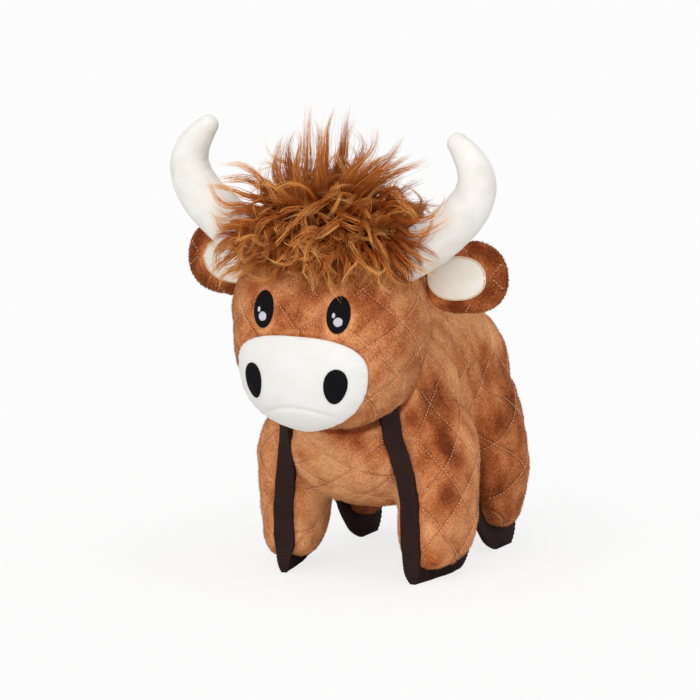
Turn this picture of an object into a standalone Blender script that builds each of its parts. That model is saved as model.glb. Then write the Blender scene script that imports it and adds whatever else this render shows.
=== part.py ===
"""A stuffed toy cow of quilted short-pile plush, with taped seams, flannel horns and a long fur forelock.

Lengths are in metres and +Z is up. The cow faces -Y, and its left side is +X. Depths are measured back from
the nose while it is built; then it is moved so that the middle of its box is over the origin, on z = 0.
"""

import math

import bmesh
import bpy
import numpy as np
from mathutils import Matrix, Vector
from mathutils.bvhtree import BVHTree

# Seams and cuts
SEAM_GAP = 0.0003
SEWN_GAP = 0.0005
PAD_SINK = 0.0020
CUT_OVERRUN = 0.0200

# Places in one chain, so that the pieces stay together when one of them moves
HEAD_DEPTH = 0.0600
TORSO_MIDDLE = 0.1110
HEAD_MIDDLE = TORSO_MIDDLE + 0.0585
NECK_DEPTH = HEAD_DEPTH + 0.0350
NECK_HEIGHT = HEAD_MIDDLE - 0.0295
TORSO_DEPTH = NECK_DEPTH + 0.0670

# Torso
TORSO_HALF_LENGTH = 0.0990
TORSO_HALF_WIDTH = 0.0570
TORSO_HALF_HEIGHT = 0.0640
TORSO_POWER = 2.5
TORSO_END_POWER = 2.85
# Place along the torso, then shares: half width, half height, rise of the middle.
TORSO_SHARES = (
    (-1.0, 1.00, 0.86, -0.19),
    (-0.7, 1.02, 1.01, -0.08),
    (-0.3, 0.96, 1.08, -0.03),
    (0.1, 0.91, 1.00, -0.02),
    (0.5, 1.01, 0.97, -0.03),
    (0.8, 1.06, 1.00, -0.05),
    (1.0, 1.02, 1.00, -0.07),
)

# Neck: a stuffed ball on the torso, in a round seat in the head
NECK_RADIUS = 0.0340
NECK_SLACK = 0.0006
NOD_UP_DEG = 8.0
NOD_DOWN_DEG = 8.0

# Head
HEAD_HALF_WIDTH = 0.0632
HEAD_HALF_HEIGHT = 0.0635
HEAD_FRONT_REACH = 0.0535
HEAD_BACK_REACH = 0.0570
HEAD_POWER = 2.4
# Height in the head, then shares: half width, front reach, back reach.
HEAD_SHARES = (
    (-1.0, 1.00, 1.24, 0.90),
    (-0.7, 0.97, 1.14, 0.94),
    (-0.4, 0.96, 1.03, 0.98),
    (0.0, 0.99, 0.95, 1.00),
    (0.3, 1.02, 0.90, 1.00),
    (0.7, 1.05, 0.84, 1.00),
    (1.0, 1.00, 0.84, 0.96),
)

# Muzzle panel, seen from a point inside the head
MUZZLE_EYE_DEPTH = HEAD_DEPTH - 0.0160
MUZZLE_EYE_HEIGHT = HEAD_MIDDLE - 0.0265
MUZZLE_SWELL = 0.0085
MUZZLE_EDGE = 0.0022
MUZZLE_SIDE_DEG = 62.0
MUZZLE_RISE = 0.0297
MUZZLE_BOTTOM_DEG = 66.0
MUZZLE_TOP_POWER = 3.2
MUZZLE_BOTTOM_POWER = 1.8
MUZZLE_EDGE_POWER = 0.75

# Satin-stitched eyes and nostrils
STITCH_HEIGHT = 0.0011
STITCH_EDGE_SHARE = 0.35
EYE_SIDE = 0.0262
EYE_HEIGHT = HEAD_MIDDLE + 0.0181
EYE_HALF_WIDTH = 0.0075
EYE_HALF_HEIGHT = 0.0117
NOSTRIL_SIDE = 0.0285
NOSTRIL_HEIGHT = MUZZLE_EYE_HEIGHT
NOSTRIL_HALF_WIDTH = 0.0069
NOSTRIL_HALF_HEIGHT = 0.0114
NOSTRIL_LEAN_DEG = 8.0
NOSTRIL_TAPER_SHARE = 0.14

# Horns: a crescent in a plane across the head
HORN_DEPTH = HEAD_DEPTH + 0.0030
HORN_BASE_SIDE = 0.0360
HORN_BASE_HEIGHT = HEAD_MIDDLE + 0.0385
HORN_SPREAD = 0.0653
HORN_RISE = 0.0875
HORN_RADIUS = 0.0158
HORN_TIP_RADIUS = 0.0070
HORN_TAPER_POWER = 3.9
HORN_ROOT_SHARE = 0.30
HORN_ROOT_NARROWING_SHARE = 0.12
HORN_CAP_STEPS = 3
# Points of the centre line, as shares of the spread and the rise.
HORN_LINE_SHARES = (
    (0.00, 0.00),
    (0.33, 0.16),
    (0.64, 0.33),
    (0.86, 0.48),
    (0.97, 0.61),
    (1.00, 0.73),
    (0.96, 0.84),
    (0.88, 0.93),
    (0.80, 1.00),
)

# Ears: padded lobes, hinged where they are sewn on
EAR_DEPTH = HEAD_DEPTH + 0.0212
EAR_ROOT_HEIGHT = HEAD_MIDDLE + 0.0335
EAR_LENGTH = 0.0545
EAR_HALF_HEIGHT = 0.0235
EAR_SWELL = 0.0048
EAR_EDGE = 0.0016
EAR_EDGE_POWER = 0.7
EAR_TILT_DEG = 5.0
EAR_SWEEP_DEG = 6.0
EAR_ROOT_POWER = 3.2
EAR_TIP_POWER = 2.2
EAR_CLEARANCE = 0.0013
EAR_WIDEST_SHARE = 0.55
LINING_LENGTH = 0.0380
LINING_HALF_HEIGHT = 0.0135
LINING_THICKNESS = 0.0011
LINING_ROOT = 0.0016

# Front legs: the foot toes in, so that its two seams don't lie straight fore and aft
FRONT_LEG_DEPTH = TORSO_DEPTH - 0.0450
FRONT_LEG_SIDE = 0.0500
FRONT_LEG_TOP = TORSO_MIDDLE + 0.0190
FRONT_LEG_HALF_WIDTH = 0.0235
FRONT_LEG_REACH = 0.0330
FRONT_LEG_TOE_IN_DEG = 10.0
FRONT_TOE_RISE = 0.0
FRONT_HEEL_RISE = 0.0180
FRONT_LEG_TOP_POWER = 2.3
FRONT_LEG_SOLE_POWER = 5.0
FRONT_KEEL = 0.0065
# Height in the leg, then shares: half width, front reach, back reach, shift outwards.
FRONT_LEG_SHARES = (
    (-1.0, 0.86, 1.04, 1.12, 0.02),
    (-0.6, 0.92, 0.98, 1.06, 0.02),
    (-0.2, 1.00, 0.98, 0.96, 0.02),
    (0.3, 1.05, 1.12, 1.00, -0.06),
    (0.7, 1.00, 1.20, 1.10, -0.40),
    (1.0, 0.85, 1.20, 1.10, -0.80),
)

# Rear legs
REAR_LEG_DEPTH = TORSO_DEPTH + 0.0490
REAR_LEG_SIDE = 0.0485
REAR_LEG_TOP = TORSO_MIDDLE + 0.0240
REAR_LEG_HALF_WIDTH = 0.0215
REAR_LEG_REACH = 0.0320
REAR_LEG_TOE_IN_DEG = 0.0
REAR_TOE_RISE = 0.0140
REAR_HEEL_RISE = 0.0
REAR_LEG_TOP_POWER = 2.1
REAR_LEG_SOLE_POWER = 3.2
REAR_KEEL = 0.0105
REAR_LEG_SHARES = (
    (-1.0, 0.92, 0.96, 1.00, 0.00),
    (-0.6, 0.95, 0.94, 0.98, 0.00),
    (-0.2, 1.00, 1.00, 0.96, 0.00),
    (0.3, 0.96, 1.15, 0.88, -0.10),
    (0.7, 1.06, 1.25, 0.96, -0.40),
    (1.0, 1.00, 1.25, 0.90, -0.70),
)

# Seam binding: a tape flat on the front, and folds that stand up from the other seams
TAPE_WIDTH = 0.0125
TAPE_THICKNESS = 0.0020
FOLD_WIDTH = 0.0032
BELLY_FOLD = 0.0085
ARCH_FOLD = 0.0070
RUMP_FOLD = 0.0080
KEEL_FOLD = 0.0190
TAPE_SINK = 0.0040
TAPE_CHAMFER = 0.0006
TAPE_END_GAP = 0.0003
SEAT_REACH = 0.0120
SEAT_SMOOTHINGS = 3
# A seam's outward direction is an angle in the plane of Y and Z: 180 looks ahead, 270 down, 360 back.
# On the torso: shares of its half width, half length and half height from its middle, then the direction.
CHEST_SEAM_SHARES = ((0.614, -0.927, 0.134, 170), (0.667, -0.904, -0.231, 180), (0.737, -0.857, -0.597, 185))
# On a leg: places in its height, front seam (-1) or back seam (1), direction, and the share of the keel's fold.
FRONT_SEAM_SHARES = ((-0.30, -1, 185), (-0.58, -1, 185), (-0.80, -1, 188))
FRONT_SOLE_SHARES = (
    (-0.925, -1, 210, 0.47),
    (-0.985, -1, 232, 0.68),
    (-0.9995, -1, 268, 0.60),
    (-0.994, 1, 275, 0.79),
    (-0.955, 1, 288, 0.97),
    (-0.860, 1, 325, 0.58),
)
BACK_SEAM_SHARES = ((-0.72, 1, 345), (-0.60, 1, 350), (-0.48, 1, 350))
BELLY_SEAM_SHARES = ((0.920, -0.038, -0.806, 318), (0.800, 0.047, -0.743, 270), (0.834, 0.111, -0.785, 222))
REAR_FRONT_SEAM_SHARES = ((-0.48, -1, 190), (-0.66, -1, 190), (-0.82, -1, 205))
REAR_SOLE_SHARES = (
    (-0.95, -1, 245, 0.47),
    (-0.995, -1, 262, 0.61),
    (-0.9995, 1, 270, 0.74),
    (-0.985, 1, 282, 0.90),
    (-0.93, 1, 310, 0.90),
)
REAR_BACK_SEAM_SHARES = ((-0.80, 1, 350), (-0.55, 1, 360), (-0.25, 1, 360))
RUMP_SEAM_SHARES = ((0.851, 0.836, -0.553, 362), (0.817, 0.857, -0.321, 365))
FRONT_BINDING_STEPS, BELLY_BINDING_STEPS, REAR_BINDING_STEPS = 34, 10, 26

# Forelock
FORELOCK_EYE_DEPTH = HEAD_DEPTH + 0.0040
FORELOCK_EYE_HEIGHT = HEAD_MIDDLE + 0.0085
FORELOCK_CROWN = 0.0400
FORELOCK_FRINGE = 0.0080
FORELOCK_SIDE_DEG = 50.0
FORELOCK_FRONT_DEG = 60.0
FORELOCK_BACK_DEG = 62.0
FORELOCK_LOCK_SHARE = 0.10
FORELOCK_TOUSLE_SHARE = 0.14
FORELOCK_TOUSLES = 5
FORELOCK_TWIST = 4.0
FORELOCK_LEAN_SHARE = 0.3

# Tail
TAIL_ROOT_HEIGHT = TORSO_MIDDLE + 0.0270
TAIL_RADIUS = 0.0065
TAIL_LENGTH = 0.0520
TAIL_STANDOFF = 0.0120
# Points of the centre line, as shares of the standoff and the length.
TAIL_LINE_SHARES = (
    (-1.50, -0.05),
    (0.10, -0.03),
    (0.80, 0.12),
    (1.00, 0.38),
    (1.00, 0.70),
    (0.95, 1.00),
)
TUFT_LENGTH = 0.0340
TUFT_RADIUS = 0.0105
TUFT_DROP_SHARE = 0.30

# Squeaker, in a pocket of the head in front of the neck ball
SQUEAKER_RADIUS = 0.0180
SQUEAKER_HEIGHT = 0.0200
SQUEAKER_RIB = 0.0016
SQUEAKER_NOZZLE_RADIUS = 0.0050
SQUEAKER_NOZZLE_HEIGHT = 0.0035
SQUEAKER_RIBS = 4
SQUEAKER_RIB_SHARES = (0.25, 0.75)
POCKET_CLEARANCE = 0.0006

# Facets
TORSO_RINGS, TORSO_SIDES = 20, 30
HEAD_RINGS, HEAD_SIDES = 20, 30
LEG_RINGS, LEG_SIDES = 16, 18
HORN_STEPS, HORN_SIDES = 14, 14
MUZZLE_RINGS, MUZZLE_SIDES = 6, 28
EAR_RINGS, LINING_RINGS, EAR_SIDES = 4, 2, 26
STITCH_RINGS, STITCH_SIDES = 2, 22
BALL_SEGMENTS, BALL_RINGS = 24, 14
TURNED_SIDES = 20
FORELOCK_RINGS, FORELOCK_SIDES = 10, 39
TAIL_STEPS, TAIL_SIDES = 10, 10
TUFT_RINGS, TUFT_SIDES = 10, 14

BROWN = (0.60, 0.31, 0.16)
WHITE = (0.90, 0.88, 0.84)
DARK_BROWN = (0.045, 0.022, 0.022)
BLACK = (0.012, 0.012, 0.014)
FUR = (0.45, 0.20, 0.07)
PLASTIC = (0.85, 0.85, 0.83)


def clear_scene():
    for obj in list(bpy.data.objects):
        bpy.data.objects.remove(obj, do_unlink=True)


def material(name, colour, roughness):
    made = bpy.data.materials.new(name)
    made.use_nodes = True
    shader = made.node_tree.nodes["Principled BSDF"]
    shader.inputs["Base Color"].default_value = (*colour, 1.0)
    shader.inputs["Roughness"].default_value = roughness
    shader.inputs["Metallic"].default_value = 0.0
    return made


def add_object(name, points, faces, finish=None):
    """A mesh object whose faces all point outwards."""
    mesh = bpy.data.meshes.new(name)
    mesh.from_pydata([tuple(p) for p in points], [], faces)
    work = bmesh.new()
    work.from_mesh(mesh)
    bmesh.ops.recalc_face_normals(work, faces=work.faces)
    work.to_mesh(mesh)
    work.free()
    mesh.shade_smooth()
    made = bpy.data.objects.new(name, mesh)
    bpy.context.scene.collection.objects.link(made)
    if finish:
        mesh.materials.append(material(name, *finish))
    return made


def as_cutter(made):
    made.hide_render = True
    made.display_type = "WIRE"
    return made


def boolean(target, other, operation):
    step = target.modifiers.new(other.name, "BOOLEAN")
    step.operation = operation
    step.solver = "EXACT"
    step.object = other


def shares_at(rows, place):
    """The row of shares at this place, on a smooth curve through the rows."""
    table = np.array(rows, float)
    places, values = table[:, 0], table[:, 1:]
    slopes = np.gradient(values, places, axis=0)
    i = int(np.clip(np.searchsorted(places, place) - 1, 0, len(places) - 2))
    span = places[i + 1] - places[i]
    s = (place - places[i]) / span
    return (
        (1 + 2 * s) * (1 - s) ** 2 * values[i]
        + s * (1 - s) ** 2 * span * slopes[i]
        + s**2 * (3 - 2 * s) * values[i + 1]
        + s**2 * (s - 1) * span * slopes[i + 1]
    )


def rounded(place, power):
    """The share of its full width that a stuffed form has at this place between -1 and 1."""
    return max(0.0, 1 - abs(place) ** power) ** (1 / power)


def superellipse(angle, power):
    c, s = math.cos(angle), math.sin(angle)
    return math.copysign(abs(c) ** (2 / power), c), math.copysign(abs(s) ** (2 / power), s)


def stuffed_form(ring_at, rings, sides):
    """Points and faces of a closed form: rings between two end points. ring_at gives a point for a place
    from -1 to 1 and an angle."""
    points = [ring_at(-1.0, 0.0)]
    for i in range(1, rings):
        place = -math.cos(math.pi * i / rings)
        points += [ring_at(place, 2 * math.pi * j / sides) for j in range(sides)]
    points.append(ring_at(1.0, 0.0))
    faces = []
    for j in range(sides):
        after = (j + 1) % sides
        faces.append((0, 1 + after, 1 + j))
        for i in range(rings - 2):
            a, b = 1 + i * sides, 1 + (i + 1) * sides
            faces.append((a + j, a + after, b + after, b + j))
        last = 1 + (rings - 2) * sides
        faces.append((last + j, last + after, len(points) - 1))
    return np.array(points), faces


def torso_point(place, angle):
    width, height, rise = shares_at(TORSO_SHARES, place)
    swell = rounded(place, TORSO_END_POWER)
    c, s = superellipse(angle, TORSO_POWER)
    return (
        TORSO_HALF_WIDTH * width * swell * c,
        TORSO_DEPTH + TORSO_HALF_LENGTH * place,
        TORSO_MIDDLE + TORSO_HALF_HEIGHT * (rise + height * swell * s),
    )


def head_point(place, angle):
    width, front, back = shares_at(HEAD_SHARES, place)
    swell = rounded(place, HEAD_POWER)
    c, s = superellipse(angle, HEAD_POWER)
    reach = HEAD_BACK_REACH * back if s > 0 else HEAD_FRONT_REACH * front
    return (
        HEAD_HALF_WIDTH * width * swell * c,
        HEAD_DEPTH + reach * swell * s,
        HEAD_MIDDLE + HEAD_HALF_HEIGHT * place,
    )


def leg_point(side, fore):
    """The function that gives the points of one leg's whole form, which the torso then cuts."""
    if fore:
        rows, powers = FRONT_LEG_SHARES, (FRONT_LEG_SOLE_POWER, FRONT_LEG_TOP_POWER)
        back, across, top, keel = FRONT_LEG_DEPTH, FRONT_LEG_SIDE, FRONT_LEG_TOP, FRONT_KEEL
        half_width, reach = FRONT_LEG_HALF_WIDTH, FRONT_LEG_REACH
        turn, toe, heel = math.radians(FRONT_LEG_TOE_IN_DEG), FRONT_TOE_RISE, FRONT_HEEL_RISE
    else:
        rows, powers = REAR_LEG_SHARES, (REAR_LEG_SOLE_POWER, REAR_LEG_TOP_POWER)
        back, across, top, keel = REAR_LEG_DEPTH, REAR_LEG_SIDE, REAR_LEG_TOP, REAR_KEEL
        half_width, reach = REAR_LEG_HALF_WIDTH, REAR_LEG_REACH
        turn, toe, heel = math.radians(REAR_LEG_TOE_IN_DEG), REAR_TOE_RISE, REAR_HEEL_RISE
    half_height = (top - keel) / 2

    def point(place, angle):
        width, front, rear, shift = shares_at(rows, place)
        swell = rounded(place, powers[0] if place < 0 else powers[1])
        c, s = superellipse(angle, powers[1])
        u = half_width * (shift + width * swell * c)
        v = reach * (rear if s > 0 else front) * swell * s
        low, aft = (1 - place) / 2, (1 + v / reach) / 2
        lift = low * (heel * max(0.0, aft) ** 3 + toe * max(0.0, 1 - aft) ** 2)
        return (
            side * (across + u * math.cos(turn) + v * math.sin(turn)),
            back + v * math.cos(turn) - u * math.sin(turn),
            keel + half_height * (place + 1) + lift,
        )

    return point


def outward(points, faces):
    """The outward direction at each point of a closed form."""
    normals = np.zeros_like(points)
    middle = points.mean(axis=0)
    for face in faces:
        corners = points[list(face)]
        normal = np.cross(corners[1] - corners[0], corners[-1] - corners[0])
        if normal @ (corners.mean(axis=0) - middle) < 0:
            normal = -normal
        for corner in face:
            normals[corner] += normal
    return normals / np.linalg.norm(normals, axis=1)[:, None]


def grown(points, faces, by):
    return points + outward(points, faces) * by


def nod_clearance(points, faces):
    """The head's form grown by its gap and by what the nod moves each point across its own surface."""
    normals = outward(points, faces)
    arms = points - np.array((0.0, NECK_DEPTH, NECK_HEIGHT))
    moves = np.stack([np.zeros(len(arms)), -arms[:, 2], arms[:, 1]], axis=1)
    travel = math.radians(max(NOD_UP_DEG, NOD_DOWN_DEG)) * np.abs((moves * normals).sum(axis=1))
    return points + normals * (NECK_SLACK + travel)[:, None]


def tree_of(*forms):
    """One tree for ray casts on several closed forms."""
    points, faces = [], []
    for form_points, form_faces in forms:
        start = len(points)
        points += [Vector(p) for p in form_points]
        faces += [tuple(start + i for i in face) for face in form_faces]
    return BVHTree.FromPolygons(points, faces)


def ball(name, centre, radius):
    made = bmesh.new()
    bmesh.ops.create_uvsphere(made, u_segments=BALL_SEGMENTS, v_segments=BALL_RINGS, radius=radius)
    bmesh.ops.translate(made, verts=made.verts, vec=centre)
    mesh = bpy.data.meshes.new(name)
    made.to_mesh(mesh)
    made.free()
    obj = bpy.data.objects.new(name, mesh)
    bpy.context.scene.collection.objects.link(obj)
    return obj


def turned(name, profile, matrix, finish=None):
    """A closed form turned from (radius, height) points, whose first and last lie on the axis."""
    points = [(0.0, 0.0, profile[0][1])]
    inner = profile[1:-1]
    for radius, height in inner:
        points += [
            (
                radius * math.cos(2 * math.pi * j / TURNED_SIDES),
                radius * math.sin(2 * math.pi * j / TURNED_SIDES),
                height,
            )
            for j in range(TURNED_SIDES)
        ]
    points.append((0.0, 0.0, profile[-1][1]))
    faces = []
    for j in range(TURNED_SIDES):
        after = (j + 1) % TURNED_SIDES
        faces.append((0, 1 + after, 1 + j))
        for i in range(len(inner) - 1):
            a, b = 1 + i * TURNED_SIDES, 1 + (i + 1) * TURNED_SIDES
            faces.append((a + j, a + after, b + after, b + j))
        last = 1 + (len(inner) - 1) * TURNED_SIDES
        faces.append((last + j, last + after, len(points) - 1))
    return add_object(name, [matrix @ Vector(p) for p in points], faces, finish)


def patch(name, surface, rim, middle, grid, thickness, finish, gap=SEAM_GAP):
    """A sewn-on pad. surface(a, b) gives a place and its outward direction, rim(angle) gives (a, b) on the
    outline, and thickness(share) the height over the gap, for a share of the way out to the rim."""
    rings, sides = grid
    top, bottom = [], []
    place, normal = surface(*middle)
    top.append(place + normal * (gap + thickness(0.0)))
    bottom.append(place + normal * gap)
    for i in range(1, rings + 1):
        share = i / rings
        for j in range(sides):
            a, b = rim(2 * math.pi * j / sides)
            place, normal = surface(
                middle[0] + share * (a - middle[0]), middle[1] + share * (b - middle[1])
            )
            top.append(place + normal * (gap + thickness(share)))
            bottom.append(place + normal * gap)
    under = len(top)
    faces = []
    for j in range(sides):
        after = (j + 1) % sides
        faces.append((0, 1 + j, 1 + after))
        faces.append((under, under + 1 + after, under + 1 + j))
        for i in range(rings - 1):
            a, b = 1 + i * sides, 1 + (i + 1) * sides
            faces.append((a + j, b + j, b + after, a + after))
            faces.append((under + a + j, under + a + after, under + b + after, under + b + j))
        last = 1 + (rings - 1) * sides
        faces.append((last + j, under + last + j, under + last + after, last + after))
    return add_object(name, top + bottom, faces, finish)


def cast(tree, origin, direction):
    place, normal, _, _ = tree.ray_cast(Vector(origin), Vector(direction).normalized())
    if normal.dot(Vector(direction)) > 0:
        normal = -normal
    return place, normal


def smooth_on(tree, reach):
    """A surface function that looks from the front along +Y. Its direction is averaged round the place."""

    def surface(x, z):
        start = -CUT_OVERRUN
        place, _ = cast(tree, (x, start, z), (0, 1, 0))
        right, _ = cast(tree, (x + reach, start, z), (0, 1, 0))
        left, _ = cast(tree, (x - reach, start, z), (0, 1, 0))
        above, _ = cast(tree, (x, start, z + reach), (0, 1, 0))
        below, _ = cast(tree, (x, start, z - reach), (0, 1, 0))
        return place, (right - left).cross(above - below).normalized()

    return surface


def make_torso(torso_form, head_form):
    body = add_object("torso", *torso_form, finish=(BROWN, 0.95))
    clearance = as_cutter(add_object("head_clearance", nod_clearance(*head_form), head_form[1]))
    boolean(body, clearance, "DIFFERENCE")
    centre = (0.0, NECK_DEPTH, NECK_HEIGHT)
    neck = as_cutter(ball("neck_ball", centre, NECK_RADIUS))
    boolean(body, neck, "UNION")
    return body


def make_head(head_form):
    head = add_object("head", *head_form, finish=(BROWN, 0.95))
    centre = (0.0, NECK_DEPTH, NECK_HEIGHT)
    boolean(head, as_cutter(ball("neck_seat", centre, NECK_RADIUS + NECK_SLACK)), "DIFFERENCE")
    radius = SQUEAKER_RADIUS + POCKET_CLEARANCE
    reach = NECK_RADIUS + NECK_SLACK + SQUEAKER_HEIGHT + POCKET_CLEARANCE
    pocket = turned(
        "squeaker_pocket",
        ((0.0, 0.0), (radius, 0.0), (radius, reach), (0.0, reach)),
        squeaker_place(),
    )
    boolean(head, as_cutter(pocket), "DIFFERENCE")
    return head


def squeaker_place():
    """The frame of the pocket: from the neck ball's centre towards the face."""
    rise = HEAD_MIDDLE - NECK_HEIGHT
    run = HEAD_DEPTH - NECK_DEPTH
    direction = Vector((0.0, run, rise / 2)).normalized()
    turn = Vector((0, 0, 1)).rotation_difference(direction).to_matrix().to_4x4()
    return Matrix.Translation((0.0, NECK_DEPTH, NECK_HEIGHT)) @ turn


def make_squeaker():
    start = NECK_RADIUS + NECK_SLACK + POCKET_CLEARANCE
    body = SQUEAKER_HEIGHT - SQUEAKER_NOZZLE_HEIGHT - POCKET_CLEARANCE
    profile = [(0.0, start), (SQUEAKER_RADIUS - SQUEAKER_RIB, start)]
    for i in range(SQUEAKER_RIBS):
        for share in SQUEAKER_RIB_SHARES:
            profile.append((SQUEAKER_RADIUS, start + body * (i + share) / SQUEAKER_RIBS))
        if i < SQUEAKER_RIBS - 1:
            valley = start + body * (i + 1) / SQUEAKER_RIBS
            profile.append((SQUEAKER_RADIUS - SQUEAKER_RIB, valley))
    profile += [
        (SQUEAKER_RADIUS - SQUEAKER_RIB, start + body),
        (SQUEAKER_NOZZLE_RADIUS, start + body),
        (SQUEAKER_NOZZLE_RADIUS, start + body + SQUEAKER_NOZZLE_HEIGHT),
        (0.0, start + body + SQUEAKER_NOZZLE_HEIGHT),
    ]
    return turned("squeaker", profile, squeaker_place(), finish=(PLASTIC, 0.4))


def make_muzzle(head_form, head_skin):
    tree = tree_of(head_form)
    eye = Vector((0.0, MUZZLE_EYE_DEPTH, MUZZLE_EYE_HEIGHT))
    step = math.radians(1.0)

    def place(around, up):
        """Above the eye up is a height, and below it an angle down, so that the top edge runs level."""
        down = min(up, 0.0)
        direction = Vector(
            (
                math.sin(around) * math.cos(down),
                -math.cos(around) * math.cos(down),
                math.sin(down),
            )
        )
        return cast(tree, eye + Vector((0.0, 0.0, MUZZLE_RISE * max(up, 0.0))), direction)[0]

    def surface(around, up):
        across = place(around + step, up) - place(around - step, up)
        along = place(around, up + step) - place(around, up - step)
        return place(around, up), across.cross(along).normalized()

    def rim(angle):
        c, s = superellipse(angle, MUZZLE_TOP_POWER if angle < math.pi else MUZZLE_BOTTOM_POWER)
        around = math.radians(MUZZLE_SIDE_DEG) * c
        return around, s if angle < math.pi else math.radians(MUZZLE_BOTTOM_DEG) * s

    def thickness(share):
        return PAD_SINK + MUZZLE_EDGE + (MUZZLE_SWELL - MUZZLE_EDGE) * (1 - share**2) ** MUZZLE_EDGE_POWER

    grid = (MUZZLE_RINGS, MUZZLE_SIDES)
    muzzle = patch(
        "muzzle", surface, rim, (0.0, 0.0), grid, thickness, (WHITE, 0.95), gap=-PAD_SINK
    )
    boolean(muzzle, head_skin, "DIFFERENCE")
    return muzzle


def tree_from_object(obj):
    mesh = obj.data
    return BVHTree.FromPolygons(
        [v.co.copy() for v in mesh.vertices], [tuple(p.vertices) for p in mesh.polygons]
    )


def stitched(share):
    """The height of satin stitch, which rolls over at its edge."""
    return STITCH_HEIGHT * (STITCH_EDGE_SHARE + (1 - STITCH_EDGE_SHARE) * (1 - share**4))


def make_eye(name, side, tree):
    def rim(angle):
        return (
            side * EYE_SIDE + EYE_HALF_WIDTH * math.cos(angle),
            EYE_HEIGHT + EYE_HALF_HEIGHT * math.sin(angle),
        )

    surface = smooth_on(tree, EYE_HALF_WIDTH / 2)
    grid = (STITCH_RINGS, STITCH_SIDES)
    return patch(name, surface, rim, (side * EYE_SIDE, EYE_HEIGHT), grid, stitched, (BLACK, 0.5))


def make_nostril(name, side, tree):
    lean = math.radians(NOSTRIL_LEAN_DEG)

    def rim(angle):
        u = NOSTRIL_HALF_WIDTH * math.cos(angle) * (1 + NOSTRIL_TAPER_SHARE * math.sin(angle))
        v = NOSTRIL_HALF_HEIGHT * math.sin(angle)
        return (
            side * (NOSTRIL_SIDE + u * math.cos(lean) + v * math.sin(lean)),
            NOSTRIL_HEIGHT + v * math.cos(lean) - u * math.sin(lean),
        )

    surface = smooth_on(tree, NOSTRIL_HALF_WIDTH / 2)
    centre = (side * NOSTRIL_SIDE, NOSTRIL_HEIGHT)
    grid = (STITCH_RINGS, STITCH_SIDES)
    return patch(name, surface, rim, centre, grid, stitched, (BLACK, 0.5), gap=SEWN_GAP)


def curve_through(points, steps):
    """Places on a smooth curve through the points, at even steps of its own parameter."""
    knots = np.array(points, float)
    runs = np.linalg.norm(np.diff(knots[:, :3], axis=0), axis=1)
    lengths = np.concatenate([[0], np.cumsum(runs)])
    rows = np.column_stack([lengths / lengths[-1], knots])
    return np.array([shares_at(rows, i / steps) for i in range(steps + 1)])


def horn_line(side):
    knots = [
        (
            side * (HORN_BASE_SIDE + HORN_SPREAD * out),
            HORN_DEPTH,
            HORN_BASE_HEIGHT + HORN_RISE * up,
        )
        for out, up in HORN_LINE_SHARES
    ]
    return curve_through(knots, HORN_STEPS)


def horn_radius(share):
    """Full in the bend, a little narrower at the root, and down to the blunt tip."""
    taper = HORN_TIP_RADIUS + (HORN_RADIUS - HORN_TIP_RADIUS) * (1 - share**HORN_TAPER_POWER)
    return taper * (1 - HORN_ROOT_NARROWING_SHARE * max(0.0, 1 - share / HORN_ROOT_SHARE))


def horn_mesh(side, extra):
    """A closed crescent. extra makes it thicker, for cutting."""
    line = horn_line(side)
    places = list(line)
    radii = [horn_radius(i / HORN_STEPS) + extra for i in range(HORN_STEPS + 1)]
    tip_way = line[-1] - line[-2]
    tip_way /= np.linalg.norm(tip_way)
    for i in range(1, HORN_CAP_STEPS):
        bend = math.pi / 2 * i / HORN_CAP_STEPS
        places.append(line[-1] + tip_way * radii[HORN_STEPS] * math.sin(bend))
        radii.append(radii[HORN_STEPS] * math.cos(bend))
    apex = line[-1] + tip_way * radii[HORN_STEPS]
    fore = np.array((0.0, -1.0, 0.0))
    points = [line[0]]
    for i, (place, radius) in enumerate(zip(places, radii)):
        if i > HORN_STEPS:
            along = tip_way
        else:
            along = line[min(i + 1, HORN_STEPS)] - line[max(i - 1, 0)]
            along = along / np.linalg.norm(along)
        across = np.cross(along, fore)
        for j in range(HORN_SIDES):
            angle = 2 * math.pi * j / HORN_SIDES
            points.append(place + radius * (math.cos(angle) * across + math.sin(angle) * fore))
    points.append(apex)
    faces = []
    rows = len(places)
    for j in range(HORN_SIDES):
        after = (j + 1) % HORN_SIDES
        faces.append((0, 1 + after, 1 + j))
        for i in range(rows - 1):
            a, b = 1 + i * HORN_SIDES, 1 + (i + 1) * HORN_SIDES
            faces.append((a + j, a + after, b + after, b + j))
        last = 1 + (rows - 1) * HORN_SIDES
        faces.append((last + j, last + after, len(points) - 1))
    return points, faces


def make_horn(name, side, head_skin):
    horn = add_object(name, *horn_mesh(side, 0.0), finish=(WHITE, 0.95))
    boolean(horn, head_skin, "DIFFERENCE")
    return horn


def ear_frame(side, head_form):
    """The ear's frame: its origin on the hinge, X outwards along the ear, Y up the hinge, Z to the front."""
    tilt, sweep = math.radians(EAR_TILT_DEG), math.radians(EAR_SWEEP_DEG)
    out = Vector(
        (side * math.cos(tilt) * math.cos(sweep), math.cos(tilt) * math.sin(sweep), math.sin(tilt))
    )
    up = Vector((-side * math.sin(tilt), 0.0, math.cos(tilt)))
    up = (up - out * up.dot(out)).normalized()
    front = out.cross(up) * side
    start = Vector((side * (HEAD_HALF_WIDTH + CUT_OVERRUN), EAR_DEPTH, EAR_ROOT_HEIGHT))
    place, _ = cast(tree_of(head_form), start, (-side, 0, 0))
    origin = place + out * (SEWN_GAP + EAR_EDGE + SEAM_GAP)
    columns = Matrix((out, up, front)).transposed().to_4x4()
    return Matrix.Translation(origin) @ columns


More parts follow.
